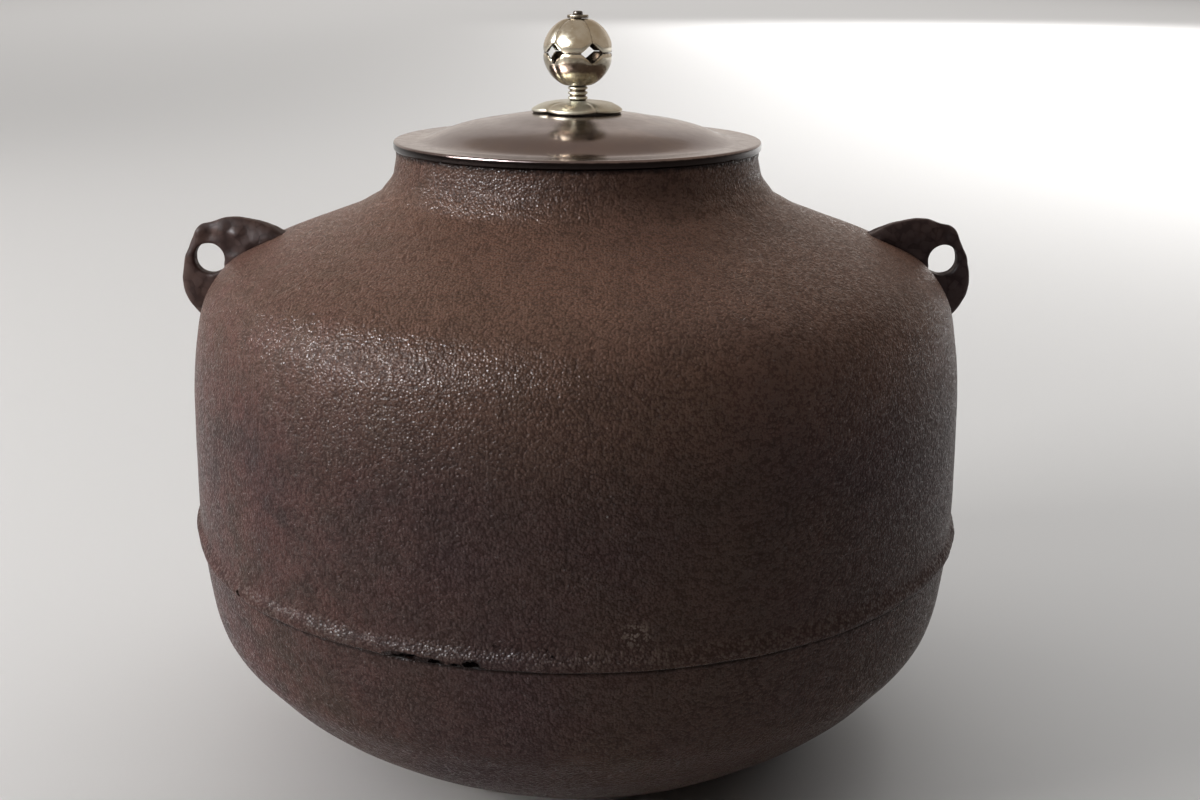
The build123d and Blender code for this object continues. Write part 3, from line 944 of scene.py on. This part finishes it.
@dataclass
class RingLug:
    """A lug with a hole for a carrying ring, cast first and let into the shell."""

    node: str
    hole_x: float = 124.7 * MM
    hole_z: float = 165.5 * MM
    voxel: float = 0.45 * MM
    softening: int = 32
    lump: float = 0.45 * MM
    waves: tuple[Pair, ...] = ((0.55, 130.0), (0.25, 340.0))
    taper: float = 0.5
    thinning: float = 0.3
    root_reach: float = 1.1 * MM
    root_sink: float = 1.0 * MM
    root_dirt: float = 0.2
    swells: tuple[tuple[float, ...], ...] = (
        # from the hole towards the kettle, up, radius and rise, in mm
        (4.7, 10.3, 2.3, 0.80),
        (9.7, 8.8, 2.4, 0.80),
        (-4.0, 9.6, 2.2, 0.60),
        (-7.5, 0.5, 2.6, 0.50),
        (8.0, 4.4, 3.2, -1.20),
        (0.6, 8.0, 1.9, -0.70),
    )

    def __post_init__(self) -> None:
        """Reads from the frame on which side the lug is, and the shell that it sits on."""
        self.side = 1.0 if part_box(self.node)[0].x > 0 else -1.0
        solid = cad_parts["body_shell"]
        spots = [solid.matrix_world @ vertex.co for vertex in solid.data.vertices]
        faces = [polygon.vertices[:] for polygon in solid.data.polygons]
        self.shell = BVHTree.FromPolygons(spots, faces)

    def root(self, spot: Vector) -> float:
        """1 where the lug meets the shell, 0 away from it."""
        away = self.shell.find_nearest(spot)[3]
        return smoothstep(self.root_reach, 0.3 * self.root_reach, away)

    def weather(self, spot: Vector, normal: Vector) -> Vector:
        """Moves a point by the casting's lumps, and sinks the root into the shell."""
        sample = Vector((spot.x * self.side, spot.y * self.side, spot.z))
        rise = -self.lump * uneven(sample, self.waves)
        inward, up = self.hole_x - self.side * spot.x, spot.z - self.hole_z
        for across, over, radius, height in self.swells:
            away = math.hypot(inward - across * MM, up - over * MM)
            rise += height * MM * bell(away, radius * MM) * min(1.0, abs(normal.y) * 1.5)
        root = self.root(spot)
        towards_axis = Vector((-self.side, 0.0, -0.4)).normalized()
        thin = 1.0 - self.taper * smoothstep(4.0 * MM, 14.0 * MM, up)
        thin *= 1.0 - self.thinning * smoothstep(10.0 * MM, -2.0 * MM, inward)
        tapered = Vector((spot.x, spot.y * thin, spot.z))
        return tapered + normal * rise * (1.0 - root) + towards_axis * root * self.root_sink

    def build(self, finish: Material) -> None:
        """Models the lug from its solid's mesh, softened and made lumpy, and dresses it."""
        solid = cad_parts[self.node]
        name = f"ring_{self.node}"
        lug = bpy.data.objects.new(name, solid.data.copy())
        bpy.context.scene.collection.objects.link(lug)
        lug.matrix_world = solid.matrix_world
        Bench.settle(lug, name)
        Bench.close(lug)
        Bench.modify(lug, "REMESH", mode="VOXEL", voxel_size=self.voxel, use_smooth_shade=True)
        Bench.modify(lug, "SMOOTH", factor=0.5, iterations=self.softening)
        Bench.shape(lug, self.weather)
        Bench.paint_dirt_and_shade(lug, lambda spot, normal: self.root_dirt * self.root(spot))
        place(lug, Body.KETTLE, Slot.LUG_IRON, finish, self.node)


@dataclass
class SingingPlates:
    """Iron plates lacquered to the kettle's floor."""

    count: int = 3
    length: float = 26.0 * MM
    width: float = 11.0 * MM
    circle: float = 26.0 * MM
    margin: float = 2.0 * MM
    pad_thickness: float = 0.8 * MM
    floor: float = 3.2 * MM
    plate_edge: float = 0.5 * MM
    pad_edge: float = 0.3 * MM
    sharp: float = math.radians(35)

    def slab(self, name: str, size: Vector, level: float, edge: float) -> Piece:
        """A flat piece with rounded edges on the plates' circle, and its copies round the axis."""
        Bench.clear()
        middle = (0, self.circle, level + size.z / 2)
        bpy.ops.mesh.primitive_cube_add(size=1.0, location=middle, scale=size)
        first = Bench.settle(bpy.context.object, name)
        Bench.modify(first, "BEVEL", width=edge, segments=3, limit_method="ANGLE")
        bpy.ops.object.shade_smooth_by_angle(angle=self.sharp)
        copies = [first]
        for index in range(1, self.count):
            copy = first.copy()
            copy.data = first.data.copy()
            bpy.context.scene.collection.objects.link(copy)
            copy.matrix_world = Matrix.Rotation(TURN * index / self.count, 4, "Z")
            copies.append(Bench.settle(copy, name))
        return Bench.join(copies, name)

    def build(self, iron: Material, lacquer: Material) -> None:
        """Models and dresses the plates and their pads."""
        low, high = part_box("singing_plates")
        size = Vector((self.length, self.width, high.z - low.z))
        plates = self.slab("floor_plates", size, low.z, self.plate_edge)
        place(plates, Body.KETTLE, Slot.PLATE_IRON, iron, "singing_plates")
        spare = 2 * self.margin
        size = Vector((self.length + spare, self.width + spare, self.pad_thickness))
        pads = self.slab("plate_pads", size, self.floor, self.pad_edge)
        place(pads, Body.KETTLE, Slot.LACQUER, lacquer, "plate_lacquer")


@dataclass
class Lid:
    """The bronze lid: its domed plate and the skirt that keeps it in the mouth."""

    radius: float = 61.0 * MM
    rim_thickness: float = 3.0 * MM
    rim_width: float = 10.2 * MM
    wall: float = 2.0 * MM
    flat_radius: float = 7.0 * MM
    hollow_margin: float = 0.6 * MM
    hole_radius: float = 1.28 * MM
    edge_round: float = 0.9 * MM
    foot_reach: float = 3.0 * MM
    skirt_radius: float = 54.7 * MM
    skirt_wall: float = 2.2 * MM
    skirt_round: float = 0.6 * MM
    skirt_dirt: float = 0.4
    step: float = 1.0 * MM
    segments: int = 300
    shares: tuple[Triple, ...] = (
        (0.0, 1.0, 0.0),
        (0.274, 0.88, 8.0),
        (0.479, 0.717, 9.5),
        (0.662, 0.565, 12.5),
        (0.822, 0.353, 20.0),
        (1.0, 0.0, 22.0),
    )

    def outline(self) -> list[Vector]:
        """The closed outline of the plate."""
        low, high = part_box("lid_plate")
        top = low.z + self.rim_thickness
        dome_foot = self.radius - self.rim_width
        dome = spread(self.shares, (self.flat_radius, dome_foot), (top, high.z))
        hollow = Station(dome_foot - self.hollow_margin, low.z, dome[-1].heading)
        under = [station.sunk(self.wall) for station in dome[:-1]] + [hollow]
        foot = Station(dome_foot + self.foot_reach, top, 0.0)
        hole = at(self.hole_radius, high.z)
        points = [hole] + stepped(hole, dome[0].point(), self.step)
        points += swept(dome[:-1] + [foot], self.step)[1:]
        rim = (
            (foot.radius, top),
            (self.radius, top, self.edge_round),
            (self.radius, low.z, self.edge_round),
            (hollow.radius, low.z),
        )
        points += cornered(rim, self.step)[1:]
        points += swept(under, 2 * self.step)[-2::-1]
        points += stepped(points[-1], at(self.hole_radius, high.z - self.wall), self.step)
        return points + stepped(points[-1], points[0], self.step)

    def build(self, finish: Material) -> None:
        """Models and dresses the plate and the skirt."""
        plate = Bench.turn("bronze_plate", self.outline(), self.segments)
        # stain with painted shade on the rim's side and the plate's underside
        Bench.paint_dirt_and_shade(plate, lambda spot, normal: smoothstep(0.45, 0.2, normal.z))
        place(plate, Body.LID, Slot.LID_BRONZE, finish, "lid_plate")
        low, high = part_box("lid_skirt")
        inner = self.skirt_radius - self.skirt_wall
        corners = (
            (inner, high.z),
            (inner, low.z, self.skirt_round),
            (self.skirt_radius, low.z, self.skirt_round),
            (self.skirt_radius, high.z),
            (inner, high.z),
        )
        skirt = Bench.turn("bronze_skirt", cornered(corners, self.step), self.segments)
        Bench.paint_dirt_and_shade(skirt, lambda spot, normal: self.skirt_dirt)
        place(skirt, Body.LID, Slot.LID_BRONZE, finish, "lid_skirt")


@dataclass
class Knob:
    """The knob: a petalled seat, a ringed stem and a hollow ball, held by a pin."""

    petals: int = 5
    phase: float = math.radians(26.0)
    bore: float = 1.25 * MM
    seat_radius: float = 15.3 * MM
    seat_wall: float = 0.9 * MM
    seat_edge: float = 0.3 * MM
    crown_radius: float = 4.0 * MM
    rim_heading: float = 38.0
    petal_radius: float = 10.0 * MM
    seat_pillow: float = 0.28 * MM
    stem_radius: float = 2.65 * MM
    ring_radius: float = 3.3 * MM
    ring_height: float = 1.0 * MM
    ring_shares: Triple = (0.20, 0.54, 0.88)
    ball_radius: float = 11.5 * MM
    ball_wall: float = 0.9 * MM
    ball_gap: float = 0.12 * MM
    ball_rows: int = 44
    pole_radius: float = 3.7 * MM
    diamond_half_width: float = 4.0 * MM
    diamond_half_height: float = 3.4 * MM
    diamond_waist: float = 0.49
    pillow: float = 0.5 * MM
    pillow_width: float = 3.0 * MM
    pillow_weights: Triple = (0.8, 1.0, 0.5)
    pin_radius: float = 1.2 * MM
    head_radius: float = 1.6 * MM
    tail_radius: float = 2.3 * MM
    segments: int = 360
    small_segments: int = 96
    pin_segments: int = 72

    def __post_init__(self) -> None:
        """Works out a petal's half angle, and the ball's middle and the latitude of its poles."""
        self.half_petal = HALF_TURN / self.petals
        self.pole = math.acos(self.pole_radius / self.ball_radius)
        self.middle = (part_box("ball_upper_half")[0].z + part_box("ball_lower_half")[1].z) / 2

    def petal_angle(self, spot: Vector) -> float:
        """The angle of a point from the middle of its petal."""
        share = TURN / self.petals
        return (azimuth(spot) - self.phase) % share - share / 2

    def crease_away(self, spot: Vector) -> float:
        """How far a point of the seat lies from the crease between two petals."""
        return (1.0 - abs(self.petal_angle(spot)) / self.half_petal) * flat(spot)

    def seat_move(self, spot: Vector, normal: Vector) -> Vector:
        """Draws the seat's round blank in to its petals, and swells them."""
        angle = self.petal_angle(spot)
        reach = self.seat_radius - self.petal_radius
        chord = math.sqrt(self.petal_radius**2 - (reach * math.sin(angle)) ** 2)
        edge = reach * math.cos(angle) + chord
        radius = flat(spot)
        out = radius / self.seat_radius
        scale = 1.0 - (1.0 - edge / self.seat_radius) * smoothstep(0.35, 1.0, out)
        rise = radius * (1.0 - scale) * 0.3
        drawn = Vector((spot.x * scale, spot.y * scale, spot.z + rise))
        if normal.z > 0:
            crease = bell(self.crease_away(spot), 1.3 * MM)
            drawn.z -= self.seat_pillow * crease * smoothstep(0.25, 0.6, out)
        return drawn

    def seat_creases_and_shade(self, spot: Vector, normal: Vector) -> float:
        """Dark in the creases between the seat's petals, with painted shade on its underside."""
        crease = bell(self.crease_away(spot), 0.5 * MM) * 0.4
        # painted shade on the downward faces
        return max(crease, 0.55 * smoothstep(0.1, -0.3, normal.z))

    def build_seat(self, finish: Material) -> None:
        """Models and dresses the seat."""
        low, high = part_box("knob_seat")
        crown = Station(self.crown_radius, high.z, 0.0)
        tip = Station(self.seat_radius, low.z + self.seat_wall, self.rim_heading)
        crown_under = crown.sunk(self.seat_wall)
        tip_under = Station(self.seat_radius - self.seat_edge, low.z, self.rim_heading)
        edge = (
            (tip.radius, tip.height),
            (self.seat_radius, low.z + self.seat_edge, 0.2 * MM),
            (tip_under.radius, tip_under.height),
        )
        points = [at(self.bore, high.z)]
        points += stepped(points[0], crown.point(), 0.5 * MM)
        points += swept([crown, tip], 0.35 * MM)[1:] + cornered(edge, 0.2 * MM)[1:]
        points += swept([crown_under, tip_under], 0.7 * MM)[-2::-1]
        points += [at(self.bore, crown_under.height), points[0]]
        seat = Bench.turn("petal_seat", points, self.segments)
        Bench.shape(seat, self.seat_move)
        Bench.close(seat)
        Bench.paint_dirt_and_shade(seat, self.seat_creases_and_shade)
        place(seat, Body.KNOB, Slot.KNOB_METAL, finish, "knob_seat")

    def build_stem(self, finish: Material) -> None:
        """Models and dresses the stem and its three rings."""
        low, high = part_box("knob_stem")
        points = [at(self.bore, low.z), at(self.stem_radius, low.z)]
        for share in self.ring_shares:
            middle = low.z + share * (high.z - low.z)
            for turn in range(-90, 91, 15):
                angle = math.radians(turn)
                stand = (self.ring_radius - self.stem_radius) * math.cos(angle)
                level = middle + self.ring_height / 2 * math.sin(angle)
                points.append(at(self.stem_radius + stand, level))
        points += [at(self.stem_radius, high.z), at(self.bore, high.z), points[0]]
        points = [p for p, q in zip(points, points[1:]) if (p - q).length > WELD] + points[:1]
        stem = Bench.turn("ringed_stem", points, self.small_segments)
        Bench.paint_dirt_and_shade(stem, lambda spot, normal: smoothstep(3.0 * MM, 2.7 * MM, flat(spot)))
        place(stem, Body.KNOB, Slot.KNOB_METAL, finish, "knob_stem")

    def diamond_edge(self, angle: float) -> float:
        """The latitude of a diamond's edge at an angle from the middle of a petal."""
        off = self.ball_radius * math.sin(self.half_petal - abs(angle))
        share = min(1.0, max(0.0, off / self.diamond_half_width))
        straight = 1.0 - share
        hollow = straight - (1.0 - 2 * self.diamond_waist) * 2.0 * share * straight
        return math.asin(self.diamond_half_height * max(0.0, hollow) / self.ball_radius)

    def ball_move(self, side: float, spot: Vector, normal: Vector) -> Vector:
        """Shapes half a ball: diamonds cut from its edge, petals swollen between creases."""
        out = spot - Vector((0.0, 0.0, self.middle))
        radius = flat(spot)
        depth = math.hypot(radius, spot.z - self.middle)
        latitude = math.atan2((spot.z - self.middle) * side, radius)
        angle = self.petal_angle(spot)
        edge = self.diamond_edge(angle)
        latitude = self.pole - (self.pole - latitude) * (self.pole - edge) / self.pole
        if normal.dot(out) > 0:
            aways = (
                (self.half_petal - abs(angle)) * depth * math.cos(latitude),
                (latitude - edge) * depth,
                (self.pole - latitude) * depth,
            )
            depth -= self.pillow * max(
                weight * (1.0 - min(1.0, max(0.0, away / self.pillow_width))) ** 2.4
                for away, weight in zip(aways, self.pillow_weights)
            )
        level = depth * math.sin(latitude) * side
        scale = depth * math.cos(latitude) / max(radius, WELD)
        return Vector((spot.x * scale, spot.y * scale, self.middle + level))

    def ball_creases_and_shade(self, side: float, spot: Vector, normal: Vector) -> float:
        """Dark in half a ball's creases and at its seam, with painted shade inside it and a painted
        dark reflection below.
        """
        out = spot - Vector((0.0, 0.0, self.middle))
        radius = flat(out)
        away = (self.half_petal - abs(self.petal_angle(spot))) * radius
        crease = 0.6 * bell(away, 0.25 * MM) if math.atan2(out.z * side, radius) > 0.25 else 0.0
        line = bell(abs(out.z), 0.22 * MM)
        # painted shade on the inner faces
        inside = smoothstep(0.1, -0.4, normal.dot(out.normalized()))
        # painted dark reflection on the lower half
        under = 0.5 * smoothstep(-0.2 * MM, -2.5 * MM, out.z)
        return max(crease, line, inside, under)

    def on_ball(self, side: float, radius: float, latitude: float) -> Vector:
        """A point of the ball's outline, above its middle or, with side -1, below."""
        level = self.middle + side * radius * math.sin(latitude)
        return at(radius * math.cos(latitude), level)

    def build_ball(self, finish: Material) -> None:
        """Models and dresses the two halves of the ball."""
        gap = self.ball_gap / self.ball_radius
        rise = self.pole - gap
        rows = [gap + rise * row / self.ball_rows for row in range(self.ball_rows + 1)]
        wall = [self.ball_radius - self.ball_wall * share for share in (0.25, 0.5, 0.75)]
        inner = self.ball_radius - self.ball_wall
        for node, side in (("ball_lower_half", -1.0), ("ball_upper_half", 1.0)):
            points = [self.on_ball(side, self.ball_radius, row) for row in reversed(rows)]
            points += [self.on_ball(side, radius, gap) for radius in wall]
            points += [self.on_ball(side, inner, row) for row in rows[::2]]
            points += [at(self.bore, points[-1].z), at(self.bore, points[0].z), points[0]]
            half = Bench.turn(f"pierced_{node}", points, self.segments)
            Bench.shape(half, partial(self.ball_move, side))
            Bench.close(half)
            Bench.paint_dirt_and_shade(half, partial(self.ball_creases_and_shade, side))
            place(half, Body.KNOB, Slot.KNOB_METAL, finish, node)

    def build_small(self, metal: Material, iron: Material) -> None:
        """Models and dresses the washers and the pin."""
        for node, rounding in (("top_washer", 0.35 * MM), ("under_washer", 0.25 * MM)):
            low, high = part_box(node)
            corners = (
                (self.bore, low.z),
                (high.x, low.z, rounding / 2),
                (high.x, high.z, rounding),
                (self.bore, high.z),
                (self.bore, low.z),
            )
            points = cornered(corners, 0.4 * MM)
            washer = Bench.turn(f"round_{node}", points, self.small_segments)
            # tarnish all over, with painted shade on the underside
            Bench.paint_dirt_and_shade(washer, lambda spot, normal: 0.6 + 0.4 * smoothstep(0.2, -0.3, normal.z))
            place(washer, Body.KNOB, Slot.KNOB_METAL, metal, node)
        low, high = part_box("knob_pin")
        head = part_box("top_washer")[1].z
        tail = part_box("under_washer")[0].z
        corners = (
            (0.0, low.z),
            (self.tail_radius, low.z, 0.5 * MM),
            (self.tail_radius, tail),
            (self.pin_radius, tail),
            (self.pin_radius, head),
            (self.head_radius, head),
            (self.head_radius, high.z, 0.7 * MM),
            (0.0, high.z),
        )
        pin = Bench.turn("headed_pin", cornered(corners, 0.5 * MM), self.pin_segments)
        place(pin, Body.KNOB, Slot.PIN_IRON, iron, "knob_pin")

    def build(self, metal: Material, dull: Material, iron: Material) -> None:
        """Models and dresses all of the knob.

        Args:
            metal: The ball's finish.
            dull: The finish of the seat, the stem and the washers.
            iron: The pin's finish.
        """
        self.build_seat(dull)
        self.build_stem(dull)
        self.build_ball(metal)
        self.build_small(dull, iron)


class Use(Enum):
    """What a panel is for: lighting dull surfaces, shining in glossy ones, or both."""

    BOTH = "both"
    LIGHT = "light"
    SHINE = "shine"


@dataclass(frozen=True)
class Panel:
    """A soft rectangular light: its place, the point it faces, its size, radiance and tint."""

    name: str
    spot: Triple
    aim: Triple
    size: Pair
    radiance: float
    tint: Triple = (1.0, 1.0, 1.0)
    use: Use = Use.BOTH
    spread: float = HALF_TURN

    def hang(self) -> None:
        """Hangs the panel, out of the camera's sight."""
        lamp = bpy.data.lights.new(self.name, "AREA")
        lamp.shape = "RECTANGLE"
        lamp.size, lamp.size_y = self.size
        lamp.energy = self.radiance * HALF_TURN * self.size[0] * self.size[1]
        lamp.color = self.tint
        lamp.spread = self.spread
        holder = bpy.data.objects.new(self.name, lamp)
        bpy.context.scene.collection.objects.link(holder)
        holder.location = self.spot
        towards = Vector(self.aim) - Vector(self.spot)
        holder.rotation_euler = towards.to_track_quat("-Z", "Y").to_euler()
        holder.visible_camera = False
        holder.visible_glossy = self.use is not Use.LIGHT
        holder.visible_diffuse = self.use is not Use.SHINE


KETTLE = (0.0, 0.0, 0.12)  # the kettle's middle
WARM_WHITE = (1.0, 0.97, 0.95)
COOL_WHITE = (0.88, 0.94, 1.0)
WHITE = (1.0, 1.0, 1.0)
LIGHT, SHINE = Use.LIGHT, Use.SHINE
PANELS = (
    Panel("window", (-1.38, -0.50, 0.62), KETTLE, (0.62, 0.42), 17.0, WARM_WHITE),
    Panel("window glint", (-1.22, -0.54, 1.00), KETTLE, (0.75, 0.32), 110.0, COOL_WHITE, SHINE),
    Panel("window halo", (-1.15, -0.72, 0.94), KETTLE, (1.4, 0.5), 9.0, COOL_WHITE, SHINE),
    Panel("left fill", (-1.6, 0.7, 0.9), KETTLE, (1.2, 1.2), 1.4, WARM_WHITE, LIGHT),
    Panel("right fill", (1.6, 0.9, 0.6), KETTLE, (1.2, 1.2), 0.4, WHITE, LIGHT),
    Panel("overhead", (0, 11.5, 5.0), (0, 11.5, 0), (16.0, 25.0), 0.90, WHITE, LIGHT),
    Panel("far wall", (0, 30.0, 9.0), (0, 0, 9.0), (70.0, 18.0), 0.27),
    Panel("right floor", (1.9, 4.2, 2.0), (1.9, 4.2, 0), (2.4, 6.8), 2.2, WHITE, LIGHT, 1.5),
)


@dataclass
class Studio:
    """A pale floor and soft light, and the camera at the photograph's viewing angle."""

    floor_size: float = 80.0
    floor_colour: Colour = (0.72, 0.71, 0.70, 1.0)
    floor_roughness: float = 0.7
    sky: Colour = (0.52, 0.45, 0.39, 1.0)
    sensor: float = 36.0
    lens: float = 43.2
    clip_start: float = 0.01
    camera_place: Triple = (0.0, -0.4854, 0.25877)
    camera_pitch: float = math.radians(16.5)
    camera_yaw: float = math.radians(-0.93)
    camera_roll: float = math.radians(0.3)

    def floor(self) -> None:
        """Lays the floor."""
        Bench.clear()
        bpy.ops.mesh.primitive_plane_add(size=self.floor_size)
        floor = Bench.settle(bpy.context.object, "studio_floor")
        material = bpy.data.materials.new("studio floor")
        material.use_nodes = True
        shader = material.node_tree.nodes["Principled BSDF"]
        shader.inputs["Base Color"].default_value = self.floor_colour
        shader.inputs["Roughness"].default_value = self.floor_roughness
        floor.data.materials.append(material)

    def light(self) -> None:
        """Sets the dim room that only shiny surfaces mirror, and the panels."""
        world = bpy.data.worlds.new("studio room")
        bpy.context.scene.world = world
        world.use_nodes = True
        background = world.node_tree.nodes["Background"]
        background.inputs["Color"].default_value = self.sky
        world.cycles_visibility.diffuse = False
        for panel in PANELS:
            panel.hang()

    def camera(self) -> None:
        """Places the camera."""
        lens = bpy.data.cameras.new("camera")
        lens.sensor_width = self.sensor
        lens.lens = self.lens
        lens.clip_start = self.clip_start
        holder = bpy.data.objects.new("camera", lens)
        bpy.context.scene.collection.objects.link(holder)
        holder.location = self.camera_place
        yaw = Matrix.Rotation(self.camera_yaw, 4, "Z")
        pitch = Matrix.Rotation(HALF_TURN / 2 - self.camera_pitch, 4, "X")
        roll = Matrix.Rotation(self.camera_roll, 4, "Z")
        holder.rotation_euler = (yaw @ pitch @ roll).to_euler()
        bpy.context.scene.camera = holder

    def build(self) -> None:
        """Sets up all of the studio."""
        bpy.context.scene.view_settings.view_transform = "Standard"
        self.floor()
        self.light()
        self.camera()


FINISHES = (
    IronFinish(),
    IronFinish(
        name="smooth lug iron",
        purple=(0.064, 0.0415, 0.0425, 1.0),
        brown=(0.078, 0.0500, 0.0420, 1.0),
        rust=(0.105, 0.0620, 0.0500, 1.0),
        grains_per_metre=380.0,
        relief=0.30 * MM,
        gloss=(0.05, 0.10),
        roughness=(0.50, 0.40),
        # painted top light, as tan, on the lug's top faces
        lit_shoulder=(0.168, 0.215),
    ),
    DullFinish(
        name="dry putty",
        dark=(0.008, 0.005, 0.004, 1.0),
        light=(0.020, 0.013, 0.010, 1.0),
        roughness=(0.7, 0.9),
        patches_per_metre=60.0,
        grains_per_metre=820.0,
        relief=0.15 * MM,
    ),
    DullFinish(
        name="plate lacquer",
        dark=(0.012, 0.006, 0.005, 1.0),
        light=(0.05, 0.02, 0.014, 1.0),
        roughness=(0.3, 0.5),
        patches_per_metre=60.0,
        grains_per_metre=500.0,
        relief=0.05 * MM,
    ),
    DullFinish(
        name="plate iron",
        dark=(0.03, 0.022, 0.018, 1.0),
        light=(0.12, 0.06, 0.035, 1.0),
        roughness=(0.55, 0.8),
        patches_per_metre=70.0,
        grains_per_metre=900.0,
        relief=0.08 * MM,
    ),
    DullFinish(
        name="pin iron",
        dark=(0.02, 0.017, 0.015, 1.0),
        light=(0.10, 0.08, 0.065, 1.0),
        roughness=(0.35, 0.6),
        patches_per_metre=300.0,
        grains_per_metre=1500.0,
        relief=0.04 * MM,
        metallic=0.6,
    ),
    MetalFinish(
        name="aged lid bronze",
        clear=(0.220, 0.165, 0.145, 1.0),
        aged=(0.165, 0.130, 0.128, 1.0),
        stain_and_shade=(0.020, 0.015, 0.014, 1.0),
        roughness=(0.13, 0.22),
        patches_per_metre=28.0,
        grains_per_metre=320.0,
        breaks_per_metre=500.0,
        relief=0.02 * MM,
        mottle_share=0.35,
    ),
    MetalFinish(),
    MetalFinish(
        name="dull knob metal",
        clear=(0.50, 0.48, 0.40, 1.0),
        aged=(0.42, 0.37, 0.28, 1.0),
        roughness=(0.30, 0.44),
    ),
)


def main() -> None:
    """Builds the kettle, its lid and its knob, then the studio."""
    logging.basicConfig(level=logging.INFO, format="%(name)s: %(message)s")
    skins = {finish.name: finish.material() for finish in FINISHES}
    KettleShell().build(skins["old cast iron"])
    BottomBowl().build(skins["old cast iron"])
    SeamPutty().build(skins["dry putty"])
    for node in ("right_lug", "left_lug"):
        RingLug(node).build(skins["smooth lug iron"])
    SingingPlates().build(skins["plate iron"], skins["plate lacquer"])
    Lid().build(skins["aged lid bronze"])
    Knob().build(skins["pale knob metal"], skins["dull knob metal"], skins["pin iron"])
    Studio().build()


if __name__ == "__main__":
    main()
